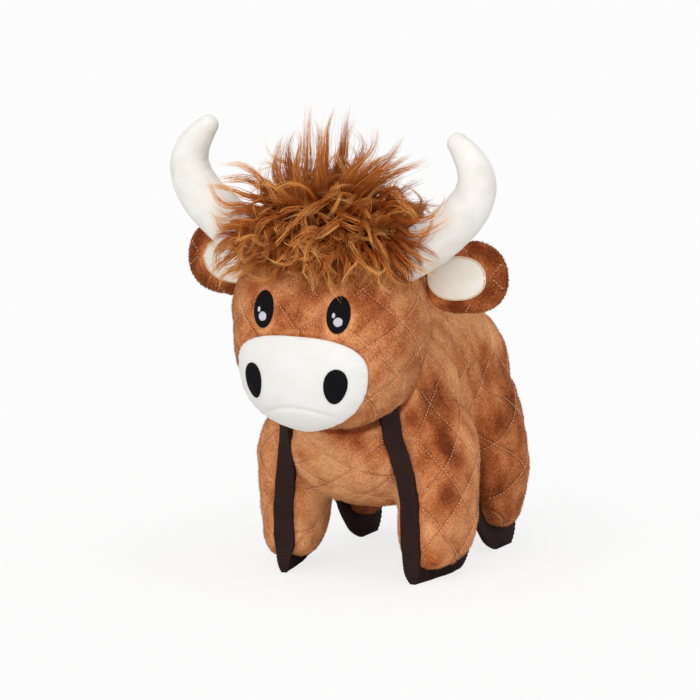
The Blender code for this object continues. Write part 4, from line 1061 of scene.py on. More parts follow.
def off_the_trunk(points, room):
    """Which points of the head keep this much room from the body and its tapes all through the nod."""
    clear = np.ones(len(points), bool)
    y, z = points[:, 1] - NECK_DEPTH, points[:, 2] - NECK_HEIGHT
    for turn in (0.0, math.radians(NOD_DEG + 0.5), -math.radians(NOD_DEG + 0.5)):
        turned = points.copy()
        turned[:, 1] = NECK_DEPTH + y * math.cos(turn) - z * math.sin(turn)
        turned[:, 2] = NECK_HEIGHT + y * math.sin(turn) + z * math.cos(turn)
        for tree in trunk_trees:
            for i in np.where(clear)[0]:
                near, normal, _, far = tree.find_nearest(Vector(turned[i]))
                clear[i] = far > room and (far > 0.01 or (Vector(turned[i]) - near).dot(normal) > 0)
    return clear


# ---------------------------------------------------------------- head
def pocket(name, radius, length):
    """The room of the squeaker, from the neck into the head."""
    way = Vector((0.0, HEAD_DEPTH - NECK_DEPTH, (HEAD_MIDDLE - NECK_HEIGHT) / 2)).normalized()
    turn = Vector((0, 0, 1)).rotation_difference(way).to_matrix().to_4x4()
    matrix = Matrix.Translation(NECK) @ turn @ Matrix.Translation((0.0, 0.0, length / 2))
    made = bmesh.new()
    bmesh.ops.create_cone(made, cap_ends=True, segments=48, radius1=radius, radius2=radius, depth=length, matrix=matrix)
    return from_bmesh(name, made)


def head_pattern(points):
    s = np.arctan2(points[:, 0], 0.065 - points[:, 1]) * 0.058
    z = points[:, 2] - 0.1756
    return (z - 0.62 * s) / 0.0365, (z + 0.93 * s) / 0.0350


def ear_frame(side):
    tilt, sweep = math.radians(EAR_TILT_DEG), math.radians(EAR_SWEEP_DEG)
    out = Vector((side * math.cos(tilt) * math.cos(sweep), math.cos(tilt) * math.sin(sweep), math.sin(tilt)))
    up = Vector((-side * math.sin(tilt), 0.0, math.cos(tilt)))
    up = (up - out * up.dot(out)).normalized()
    front = out.cross(up) * side
    start = Vector((side * (HEAD_HALF_WIDTH + 0.02), EAR_DEPTH, EAR_ROOT_HEIGHT))
    place, _ = cast(head_tree, start, (-side, 0, 0))
    origin = place + out * (0.0005 + EAR_EDGE + 0.0003)
    return Matrix.Translation(origin) @ Matrix((out, up, front)).transposed().to_4x4()


def seen_from_ear(points, side):
    """Points in the ear's own frame: out from its root, up, and to its front."""
    turned = np.array(ear_frame(side).inverted())
    return points @ turned[:3, :3].T + turned[:3, 3]


head = add_object("head_skin", *head_form)
seat, hole = ball("seat", NECK_RADIUS + 0.0012), pocket("pocket", 0.0192, 0.0562)
head = skin_of(cut(cut(head, seat), hole), 0.0018)
drop(seat, hole)
points, normals = arrays(head)
fields = head_pattern(points)
apart = grooves(*fields, 0.0310, 0.0256)
free = 1 - smoothstep(0.0008, 0.0020, gaps(head_tree, points))
free = free * smoothstep(NECK_RADIUS + 0.003, NECK_RADIUS + 0.012, apart_from(points, NECK))
x, z = points[:, 0], points[:, 2]
eyes = np.min(
    [np.hypot((x - side * EYE_SIDE) / EYE_HALF_WIDTH, (z - EYE_HEIGHT) / EYE_HALF_HEIGHT) for _, side in SIDES], axis=0
)
bare = np.where(points[:, 1] < 0.05, smoothstep(0.95, 1.5, eyes), 1.0)
lumps = layered(points, (0.0003, 0.030, 21), (0.00015, 0.010, 22))
lift = (puffed(apart) + lumps - 0.0007) * free * bare - 0.0003 * (1 - bare)
for _, side in SIDES:
    # A soft roll where the plush gathers at the seam behind each ear, and a slight dip before it.
    out, rise, fore = seen_from_ear(points, side).T
    near = np.exp(-(((rise - 0.003) / 0.016) ** 4)) * free * (out > -0.02)
    lift += 0.0034 * near * line_at(fore + 0.0095, 0.0038)
    lift -= 0.0004 * near * line_at(fore - 0.004, 0.006)
points += normals * lift[:, None]
move(head, points)
soft = layered(points, (0.5, 0.030, 31), (0.5, 0.014, 32))
HEAD_BLOTCHES = (
    (0.0417, 0.0238, 0.1953, 0.011, 0.35),
    (0.0546, 0.0308, 0.1796, 0.007, 0.25),
    (0.0375, 0.0177, 0.1804, 0.006, 0.20),
    (-0.0006, 0.0119, 0.1830, 0.011, 0.12),
    (-0.0349, 0.0204, 0.1953, 0.008, 0.25),
    (0.0602, 0.0433, 0.1675, 0.009, 0.22),
    (-0.0010, 0.0160, 0.1966, 0.013, 0.20),
    (-0.0109, 0.0144, 0.1916, 0.009, 0.20),
)
# The last term darkens the quilting lines: painted shade in their grooves.
shade = 0.34 + 0.12 * soft + spots(points, HEAD_BLOTCHES) + 0.16 * line_at(apart, 0.0013)
shade = np.clip(shade, 0, 1)
attribute(head, "shade", shade)


def muzzle_rim(angle):
    upper = angle < math.pi
    c, s = superellipse(angle, MUZZLE_TOP_POWER if upper else MUZZLE_BOTTOM_POWER)
    return math.radians(MUZZLE_SIDE_DEG) * c, s if upper else math.radians(MUZZLE_BOTTOM_DEG) * s


around = np.arctan2(points[:, 0], MUZZLE_EYE_DEPTH - points[:, 1])
flat = np.hypot(points[:, 0], points[:, 1] - MUZZLE_EYE_DEPTH)
rise = points[:, 2] - MUZZLE_EYE_HEIGHT
up = np.where(rise > 0, rise / MUZZLE_RISE, np.arctan2(rise, flat) / math.radians(MUZZLE_BOTTOM_DEG))
power = np.where(rise > 0, MUZZLE_TOP_POWER, MUZZLE_BOTTOM_POWER)
under_muzzle = np.abs(around / math.radians(MUZZLE_SIDE_DEG)) ** power + np.abs(up) ** power < 1.0
shown = (free > 0.7) & (bare > 0.6) & ~under_muzzle & (points[:, 2] < FUR_HEIGHT) & off_the_trunk(points, 0.0024)
threads = []
for field in fields:
    threads += isolines(head, field, shown)
place_piece(stitches("quilt_stitches_head", threads), "head", CREAM_THREAD)
keep = shown & (apart > 0.0005)
for _, side in SIDES:
    out, rise, fore = seen_from_ear(points, side).T
    keep &= ~((out > -0.02) & (np.abs(rise) < EAR_HALF_HEIGHT + 0.004) & (fore > -0.022) & (fore < 0.012))
place_piece(pile("pile_head", head, shade, keep, 70000, 72), "head", PLUSH, smooth=False)
place_piece(head, "head", PLUSH, ["head"])


# ---------------------------------------------------------------- sewn-on pads
def patch(name, surface, rim, middle, grid, thickness, gap, ripple=None):
    """A closed pad whose upper side stands thickness over the surface. ripple adds to it, in metres."""
    top, bottom = [], []
    for share, angle in disc_steps(*grid):
        a, b = rim(angle)
        u, v = middle[0] + share * (a - middle[0]), middle[1] + share * (b - middle[1])
        place, normal = surface(u, v)
        extra = ripple(u, v, share, angle) if ripple else 0.0
        top.append(place + normal * (gap + thickness(share) + extra))
        bottom.append(place + normal * gap)
    return add_object(name, top + bottom, disc(*grid))


def muzzle_place(around, up):
    """Above the eye up is a share of the rise, and below it an angle."""
    down, rise = min(up, 0.0), MUZZLE_RISE * max(up, 0.0)
    way = (math.sin(around) * math.cos(down), -math.cos(around) * math.cos(down), math.sin(down))
    return cast(head_tree, (0.0, MUZZLE_EYE_DEPTH, MUZZLE_EYE_HEIGHT + rise), way)[0]


def muzzle_surface(around, up):
    step = math.radians(1.0)
    across = muzzle_place(around + step, up) - muzzle_place(around - step, up)
    along = muzzle_place(around, up + step) - muzzle_place(around, up - step)
    return muzzle_place(around, up), across.cross(along).normalized()


def muzzle_thickness(share):
    return MUZZLE_EDGE + (MUZZLE_SWELL - MUZZLE_EDGE) * (1 - share**2) ** MUZZLE_EDGE_POWER


def mouth(around):
    """How far up the mouth's crease runs, at this angle round the muzzle."""
    return math.radians(-20.5 - 0.0045 * (math.degrees(around) - 2.0) ** 2)


def muzzle_ripple(around, up, share, angle):
    crease = math.exp(-(((up - mouth(around)) / math.radians(1.7)) ** 2))
    crease *= 1 - smoothstep(math.radians(34), math.radians(46), abs(around))
    pucker = 0.00025 * math.sin(angle * 41 + 2 * math.sin(angle * 7)) * share**8
    return -0.0011 * crease + pucker + 0.0002 * math.sin(9 * around + 3 * up) * (1 - share)


pad = (muzzle_surface, muzzle_rim, (0.0, 0.0), (44, 200), muzzle_thickness, 0.0002, muzzle_ripple)
muzzle = patch("muzzle_pad", *pad)
muzzle_tree = tree_of(form_of(muzzle))
line = []
for i in range(121):  # The mouth runs from 36 degrees on one side to 40 on the other.
    around = math.radians(-36 + 76 * i / 120)
    up = mouth(around)
    way = Vector((math.sin(around) * math.cos(up), -math.cos(around) * math.cos(up), math.sin(up)))
    place, normal, _, _ = muzzle_tree.ray_cast(Vector((0.0, MUZZLE_EYE_DEPTH, MUZZLE_EYE_HEIGHT)) + way * 0.12, -way)
    line.append((*place, *normal))
mouth_line = stitches("mouth_stitches", [np.array(line)], 0.0030, 0.0019, 0.0002, -0.0001)
place_piece(mouth_line, "head", EDGE_THREAD)
place_piece(muzzle, "head", WHITE_FLANNEL, ["muzzle"])


def smooth_on(tree, reach):
    """A surface of the form as seen from the front, smoothed over this reach."""

    def met(x, z):
        return cast(tree, (x, -0.02, z), (0, 1, 0))[0]

    def surface(x, z):
        across, along = met(x + reach, z) - met(x - reach, z), met(x, z + reach) - met(x, z - reach)
        return met(x, z), across.cross(along).normalized()

    return surface


def stitched(height):
    return lambda share: height * (0.35 + 0.65 * (1 - share**4))


def ragged(amount, seed):
    """Threads that end unevenly at the rim of a stitched patch."""
    return lambda angle: 1 + amount * (math.sin(angle * 67 + seed) + math.sin(angle * 43 + 2 * seed)) / 2


for word, side in SIDES:
    uneven = ragged(0.016, side)

    def eye_rim(angle):
        grow = uneven(angle)
        return (
            side * EYE_SIDE + EYE_HALF_WIDTH * math.cos(angle) * grow,
            EYE_HEIGHT + EYE_HALF_HEIGHT * math.sin(angle) * grow,
        )

    def threads_on(u, v, share, angle):
        return 0.00006 * math.sin((u * 0.6 + v) * 2 * math.pi / 0.0006)

    eye_surface = smooth_on(head_tree, EYE_HALF_WIDTH / 2)
    middle = (side * EYE_SIDE, EYE_HEIGHT)
    eye = patch(f"eye_stitching_{word}", eye_surface, eye_rim, middle, (22, 150), stitched(0.0012), 0.0001, threads_on)
    place_piece(eye, "head", BLACK_SATIN, [f"eye_{word}"])
    drops = ((0.0004, -0.0044, 0.0029, 0.0029), (-0.0027, -0.0004, 0.0011, 0.0017))
    for key, (right, rise, wide, high) in zip(("large", "small"), drops):
        middle = (side * EYE_SIDE + right, EYE_HEIGHT + rise)
        frayed = ragged(0.05, rise * 900)

        def shine_rim(angle):
            grow = frayed(angle)
            return middle[0] + wide * math.cos(angle) * grow, middle[1] + high * math.sin(angle) * grow

        shine = patch(f"eye_shine_{key}_{word}", eye_surface, shine_rim, middle, (8, 48), stitched(0.0008), 0.0010)
        place_piece(shine, "head", SHINE_SATIN)
    lean = math.radians(NOSTRIL_LEAN_DEG)

    def nostril_rim(angle):
        grow = uneven(angle)
        u = NOSTRIL_HALF_WIDTH * math.cos(angle) * (1 + NOSTRIL_TAPER * math.sin(angle)) * grow
        v = NOSTRIL_HALF_HEIGHT * math.sin(angle) * grow
        return (
            side * (NOSTRIL_SIDE + u * math.cos(lean) + v * math.sin(lean)),
            NOSTRIL_HEIGHT + v * math.cos(lean) - u * math.sin(lean),
        )

    name, middle = f"nostril_stitching_{word}", (side * NOSTRIL_SIDE, NOSTRIL_HEIGHT)
    surface = smooth_on(muzzle_tree, NOSTRIL_HALF_WIDTH / 2)
    nostril = patch(name, surface, nostril_rim, middle, (22, 150), stitched(0.0012), 0.0001, threads_on)
    place_piece(nostril, "head", BLACK_SATIN, [f"nostril_{word}"])


# ---------------------------------------------------------------- horns
def tube(name, line, radii, sides, fore, ripple=None):
    """A closed round form along a line. ripple(step, angle) gives a share to add to the radius."""
    count = len(line)
    points = [line[0]]
    for i, (place, radius) in enumerate(zip(line, radii)):
        along = unit(line[min(i + 1, count - 1)] - line[max(i - 1, 0)])
        across = unit(np.cross(along, fore))
        up = np.cross(across, along)
        for j in range(sides):
            angle = 2 * math.pi * j / sides
            grow = radius * (1 + (ripple(i, angle) if ripple else 0.0))
            points.append(place + grow * (math.cos(angle) * across + math.sin(angle) * up))
    points.append(line[-1])
    return add_object(name, points, ringed(count, sides))


def horn_radius(share):
    taper = HORN_TIP_RADIUS + (HORN_RADIUS - HORN_TIP_RADIUS) * (1 - share**HORN_TAPER)
    return taper * (1 - 0.12 * max(0.0, 1 - share / 0.30))


horn_cores = []
for word, side in SIDES:
    knots = [
        (side * (HORN_BASE_SIDE + HORN_SPREAD * out), HORN_DEPTH, HORN_BASE_HEIGHT + HORN_RISE * rise)
        for out, rise in HORN_LINE_SHARES
    ]
    steps = 110
    line = list(curve_rows(knots, steps))
    radii = [horn_radius(i / steps) for i in range(steps + 1)]
    tip, end = unit(line[-1] - line[-2]), line[-1]
    for i in range(1, 14):
        bend = math.pi / 2 * i / 14
        line.append(end + tip * HORN_TIP_RADIUS * math.sin(bend))
        radii.append(HORN_TIP_RADIUS * math.cos(bend))
    line, radii = np.array(line), np.array(radii)
    horn_cores.append((line, radii))

    def horn_ripple(i, angle):
        share = min(1.0, i / steps)
        seam = -0.030 * math.exp(-((math.sin(angle) / 0.09) ** 2))
        pucker = 0.010 * math.sin(i * 0.55 + side) * math.exp(-((math.sin(angle) / 0.35) ** 2))
        wrinkle = -0.014 * math.exp(-(((share - 0.52) / 0.02) ** 2))
        wrinkle -= 0.010 * math.exp(-(((share - 0.70) / 0.025) ** 2))
        wrinkle *= 0.6 + 0.4 * math.sin(angle * 2 + side)
        lump = 0.012 * math.sin(2 * angle + i * 0.07 * side) + 0.008 * math.sin(3 * angle - i * 0.11)
        return seam + pucker + wrinkle + lump * (0.3 + 0.7 * min(1.0, share / 0.3))

    horn = tube(f"horn_skin_{word}", line, radii, 72, np.array((0.0, -1.0, 0.0)), horn_ripple)
    place_piece(horn, "head", HORN_FLEECE, [f"horn_{word}"])


# ---------------------------------------------------------------- ears
def ear_rim(angle):
    middle = EAR_LENGTH * EAR_WIDEST
    outer = abs(angle) < math.pi / 2 or angle > 3 * math.pi / 2
    c, s = superellipse(angle, EAR_TIP_POWER if outer else EAR_ROOT_POWER)
    return middle + (EAR_LENGTH - middle if outer else middle + EAR_EDGE) * c, EAR_HALF_HEIGHT * s


def ear_half_thickness(share):
    return EAR_EDGE + (EAR_SWELL - EAR_EDGE) * (1 - share**2) ** 0.7


for word, side in SIDES:
    frame_of = ear_frame(side)
    middle = EAR_LENGTH * EAR_WIDEST
    front, back = [], []
    for share, angle in disc_steps(30, 160):
        a, b = ear_rim(angle)
        fray = 1 + share**12 * (0.010 * math.sin(angle * 47) + 0.010 * math.sin(angle * 71 + side) - 0.020)
        x, y = middle + share * fray * (a - middle), share * fray * b
        line_apart = min(abs((x - EAR_CROSSING + k * y * EAR_LEAN)) for k in (1, -1)) * 0.74
        half = ear_half_thickness(share) * (1 if share < 0.97 else 0.86)
        pinch = 0.0009 * math.exp(-((line_apart / 0.0012) ** 2)) * (1 - share**6)
        clear = min(1.0, max(0.0, x / 0.024))
        lump = 0.0002 * clear * math.sin(260 * x + 4 * side) * math.cos(210 * y) * (1 - share**4)
        bend = 0.0005 * clear * math.sin(140 * x + 1.15 + 0.15 * side) * share**2
        front.append(frame_of @ Vector((x, y, half - pinch + lump + bend)))
        back.append(frame_of @ Vector((x, y, -half + pinch + lump + bend)))
    ear = add_object(f"ear_skin_{word}", front + back, disc(30, 160))
    points, _ = arrays(ear)
    shade = np.clip(0.78 + 0.14 * waves(points, 0.018, 41 + side), 0, 1)
    attribute(ear, "shade", shade)
    out, rise, fore = seen_from_ear(points, side).T
    half_length = LINING_LENGTH / 2
    beyond = np.hypot((out - LINING_ROOT - half_length) / half_length, rise / LINING_HALF_HEIGHT)
    core, radii = horn_cores[side < 0]
    horn_gap = (np.linalg.norm(points[:, None] - core[None, ::4], axis=2) - radii[None, ::4]).min(axis=1)
    keep = ((fore < -0.0005) | (beyond > 1.22)) & (out > 0.006) & (horn_gap > 0.0095)
    seams = []
    for lean in (1, -1):
        field = (out - EAR_CROSSING + EAR_LEAN * lean * rise) / 0.08
        seams += isolines(ear, field, (fore > 0.0005) & (beyond > 1.25))
        seams += isolines(ear, field, fore < -0.0005)
    ear_seams = stitches(f"quilt_stitches_ear_{word}", seams)
    fibres = pile(f"pile_ear_{word}", ear, shade, keep, 12000, 74 + side, 0.0012)
    ear_tree = tree_of(form_of(ear))
    facing = (frame_of.to_3x3() @ Vector((0, 0, 1))).normalized()
    centre = LINING_ROOT + half_length

    def lining_surface(x, y):
        place, _ = cast(ear_tree, frame_of @ Vector((x, y, 0.02)), -facing)
        return place, facing

    def lining_rim(angle):
        c, s = superellipse(angle, EAR_TIP_POWER)
        return centre + (half_length + 0.0012) * c, (LINING_HALF_HEIGHT + 0.0010) * s

    def lining_height(share):
        return LINING_THICKNESS * (1 - 0.35 * share**8)

    def lining_ripple(x, y, share, angle):
        return 0.0002 * math.sin(300 * x) * math.sin(260 * y) * (1 - share**3)

    name, pad = f"ear_lining_pad_{word}", (lining_surface, lining_rim, (centre, 0.0), (20, 140))
    lining = patch(name, *pad, lining_height, 0.0001, lining_ripple)
    chain = []
    for j in range(241):
        a, b = lining_rim(2 * math.pi * (j % 240) / 240)
        place, _ = lining_surface(centre + 0.965 * (a - LINING_ROOT - half_length), 0.955 * b)
        chain.append((*(place + facing * (LINING_THICKNESS * 0.8)), *facing))
    edging = stitches(f"ear_edge_stitches_{word}", [np.array(chain)], 0.00125, 0.0011, 0.00055, 0.0002)
    node = f"ear_{word}"
    place_piece(edging, node, EDGE_THREAD)
    place_piece(fibres, node, PLUSH, smooth=False)
    place_piece(ear_seams, node, CREAM_THREAD)
    place_piece(lining, node, CREAM_FLANNEL, [f"ear_lining_{word}"])
    place_piece(ear, node, PLUSH, [node])


# ---------------------------------------------------------------- fur
def strand_mesh(name, paths, radii, along, tones):
    """Tapered three-sided strands. paths is strands by points by 3, radii the thickness at each point."""
    count, length, _ = paths.shape
    way = unit(np.gradient(paths, axis=1), 1e-12)
    pole = np.random.default_rng(8).normal(size=(count, 1, 3))
    across = unit(np.cross(way, pole), 1e-12)
    up = np.cross(way, across)
    rings = [
        paths + radii[..., None] * (math.cos(angle) * across + math.sin(angle) * up)
        for angle in (0.0, 2 * math.pi / 3, 4 * math.pi / 3)
    ]
    last = (length - 1) * 3
    faces = prism(length, 3) + [(0, 2, 1), (last, last + 1, last + 2)]
    obj = many_shells(name, np.stack(rings, axis=2).reshape(count, length * 3, 3), faces)
    attribute(obj, "along", np.repeat(np.broadcast_to(along, (count, length)), 3, axis=1).ravel())
    attribute(obj, "tone", np.repeat(tones, length * 3))
    return obj


def between_knots(paths, at):
    """The paths' points at these places along them, counted in knots."""
    low = np.clip(at.astype(int), 0, paths.shape[1] - 2)
    share = (at - low)[..., None]
    rows = np.arange(len(paths))[:, None]
    return paths[rows, low] * (1 - share) + paths[rows, low + 1] * share


def locks(guides, rng, per_lock, spread, gather, curl, width, tone_of, sway=0.0012, least=0.68):
    """Strands round each guide line. Each starts within spread of it and gathers towards its tip. The strands of a
    lock share its sway, and each has a small curl of its own."""
    count, length, _ = guides.shape
    t = np.linspace(0, 1, length)
    along = t[None, :, None]
    total = count * per_lock
    base = np.repeat(guides, per_lock, axis=0)
    ends = unit(base[:, -1] - base[:, 0], 1e-12)
    offset = rng.normal(size=(total, 3)) * spread[np.repeat(np.arange(count), per_lock)][:, None] * 0.6
    offset -= ends * (offset * ends).sum(axis=1)[:, None] * 0.7
    phase = rng.uniform(0, 2 * np.pi, (total, 1, 3))
    turns = rng.uniform(0.5, 1.4, (total, 1, 1))
    wander = np.sin(2 * np.pi * turns * along + phase) - np.sin(phase)
    size = curl * rng.uniform(0.3, 1.5, (total, 1, 1))
    paths = base + offset[:, None, :] * (1 - gather * along**0.8) + wander * size * along**0.7
    phase = np.repeat(rng.uniform(0, 2 * np.pi, (count, 1, 3)), per_lock, axis=0)
    turns = np.repeat(rng.uniform(0.9, 1.6, (count, 1, 1)), per_lock, axis=0)
    paths += sway * (np.sin(2 * np.pi * turns * along + phase) - np.sin(phase)) * along**0.8
    reach = t[None, :] * rng.uniform(least, 1.0, (total, 1))
    thick = width * rng.uniform(0.6, 1.3, (total, 1)) * (1 - t[None, :] ** 1.6 * 0.93)
    tones = np.clip(np.repeat(tone_of, per_lock) + rng.normal(0, 0.11, total), 0, 1)
    return between_knots(paths, reach * (length - 1)), thick, reach, tones


def guide_lines(roots, starts, lengths, pull, turn, clear):
    """Guide lines that leave the head, bend under their own weight and curl, and stay out of the head."""
    steps = 12
    places, ways = roots.copy(), starts.copy()
    lines = [places.copy()]
    for _ in range(steps):
        ways = unit(ways + pull / steps + np.cross(turn, ways) / steps)
        places = places + ways * (lengths / steps)[:, None]
        for i, place in enumerate(places):
            near, normal, _, _ = head_tree.find_nearest(Vector(place))
            if (Vector(place) - near).dot(normal) < clear[i]:
                places[i] = np.array(near + normal * clear[i])
        lines.append(places.copy())
    return np.stack(lines, axis=1)


def scalp(around, share):
    """A place on the head under the forelock, at this angle round the crown and share of the way to its rim."""
    across, ahead = math.cos(around), math.sin(around)
    front = FORELOCK_FRONT_DEG if ahead > 0 else FORELOCK_BACK_DEG
    theta = share * math.hypot(math.radians(FORELOCK_SIDE_DEG) * across, math.radians(front) * ahead)
    way = Vector((math.sin(theta) * across, -math.sin(theta) * ahead, math.cos(theta)))
    place, normal = cast(head_tree, FORELOCK_EYE, way)
    return np.array(place), np.array(way)


def shortened(paths, blocked):
    """Strands that end where they are first blocked, and which of them keep enough of their length."""
    last = paths.shape[1] - 1
    first = np.where(blocked.any(axis=1), blocked.argmax(axis=1), last)
    return between_knots(paths, np.linspace(0, 1, last + 1)[None] * first[:, None]), first > 0.2 * last


def clear_of_horns(paths):
    """Strands pushed out of the horns. One that would run through a horn ends where it meets it."""
    blocked = np.zeros(paths.shape[:2], bool)
    for core, radii in horn_cores:
        flat = paths.reshape(-1, 3)
        depth, away = np.full(len(flat), -1.0), np.zeros((len(flat), 3))
        for place, radius in zip(core[::3], radii[::3]):
            apart = flat - place
            far = np.linalg.norm(apart, axis=1)
            deeper = radius + 0.0005 - far > depth
            depth[deeper] = radius + 0.0005 - far[deeper]
            away[deeper] = apart[deeper] / (far[deeper][:, None] + 1e-9)
        inside = depth.reshape(paths.shape[:2])
        through = inside.max(axis=1) > 0.35 * HORN_RADIUS
        pushed = (flat + away * np.clip(depth, 0, None)[:, None]).reshape(paths.shape)
        paths = np.where(through[:, None, None], paths, pushed)
        blocked |= through[:, None] & (inside > 0)
    return shortened(paths, blocked)


def clear_of_motion(paths):
    """Strands that stay out of the ears' swing and, as the head nods, off the shoulders."""
    flat = paths.reshape(-1, 3)
    blocked = np.zeros(len(flat), bool)
    for side in (1, -1):
        out, rise, fore = seen_from_ear(flat, side).T
        swing = np.clip(out, 0, None)
        beside = (out > -0.006) & (out < EAR_LENGTH + 0.005) & (np.abs(rise) < EAR_HALF_HEIGHT + 0.005)
        blocked |= beside & (fore < 0.0065 + 0.18 * swing) & (fore > -0.0100 - 0.64 * swing)
    low = np.where((flat[:, 2] < FUR_HEIGHT) & (flat[:, 1] > 0.080))[0]
    blocked[low] |= ~off_the_trunk(flat[low], 0.003)
    return shortened(paths, blocked.reshape(paths.shape[:2]))


def fur_piece(name, *parts):
    paths, thick, along, tones = (np.concatenate(part) for part in zip(*parts))
    paths, clear = clear_of_horns(paths)
    paths, kept = clear_of_motion(paths)
    kept &= clear
    return strand_mesh(name, paths[kept], thick[kept], along[kept], tones[kept])


def rim_share(angle):
    """How far out the fur's patch reaches at this angle: less towards the face."""
    return 0.95 - 0.20 * max(0.0, math.sin(angle)) ** 2


rng = np.random.default_rng(20)
COUNT = 420
roots, outs, shares = [], [], []
for i in range(COUNT):
    share = math.sqrt((i + 0.5) / COUNT)
    angle = i * GOLDEN_ANGLE + rng.normal(0, 0.15)
    place, out = scalp(angle, share * rim_share(angle))
    roots.append(place)
    outs.append(out)
    shares.append(share)
roots, outs, shares = (np.array(part) for part in (roots, outs, shares))
radial = roots - np.array((-0.006, CROWN_DEPTH, 0.0))
radial[:, 2] = 0
radial = unit(radial, 1e-9)
ahead = np.clip(-radial[:, 1], 0, 1)
rim = smoothstep(0.30, 1.0, shares)
up = np.array((0.0, 0.0, 1.0))
starts = outs * (0.9 - 0.35 * rim)[:, None] + radial * (0.25 + 0.75 * rim)[:, None] + up * (0.45 * (1 - rim))[:, None]
starts += rng.normal(0, 0.32, starts.shape)
starts = unit(starts)
lengths = (0.046 - 0.006 * rim - 0.017 * rim * ahead) * rng.uniform(0.75, 1.2, COUNT)
pull = -up * (0.5 + 1.5 * rim + 0.5 * ahead)[:, None] + radial * 0.35
turn = rng.normal(0, 1.1, (COUNT, 3))
clear = rng.uniform(0.002, 0.014, COUNT)
guides = guide_lines(roots, starts, lengths, pull, turn, clear)
# Lower tones towards the crown, partly painted shade in the depth of the mass, and higher towards the cow's right side.
tone_of = rng.uniform(0.02, 0.62, COUNT) * (0.75 + 0.25 * rim) + 0.32 * smoothstep(0.0, 0.045, -roots[:, 0])
main = locks(guides, rng, 24, rng.uniform(0.0028, 0.0050, COUNT), 0.72, 0.0014, STRAND_RADIUS, tone_of, 0.0018)

# Golden locks that lie over the mass in loose waves, at the pale end of the tones: partly their own colour, partly
# painted highlight.
OVER = 230
picked = rng.choice(COUNT, OVER, replace=False)
over_starts = unit(starts[picked] * 0.6 + radial[picked] * 0.7 + rng.normal(0, 0.35, (OVER, 3)))
over_lengths, over_turn = lengths[picked] * rng.uniform(0.95, 1.25, OVER), rng.normal(0, 2.6, (OVER, 3))
over_clear = 0.013 + 0.013 * (1 - rim[picked]) * rng.uniform(0.6, 1.2, OVER)
over = guide_lines(roots[picked], over_starts, over_lengths, pull[picked] * 0.8, over_turn, over_clear)
spread, tone_of = rng.uniform(0.0009, 0.0021, OVER), rng.uniform(0.70, 1.0, OVER)
over = locks(over, rng, 10, spread, 0.84, 0.0010, STRAND_RADIUS, tone_of, 0.0028)

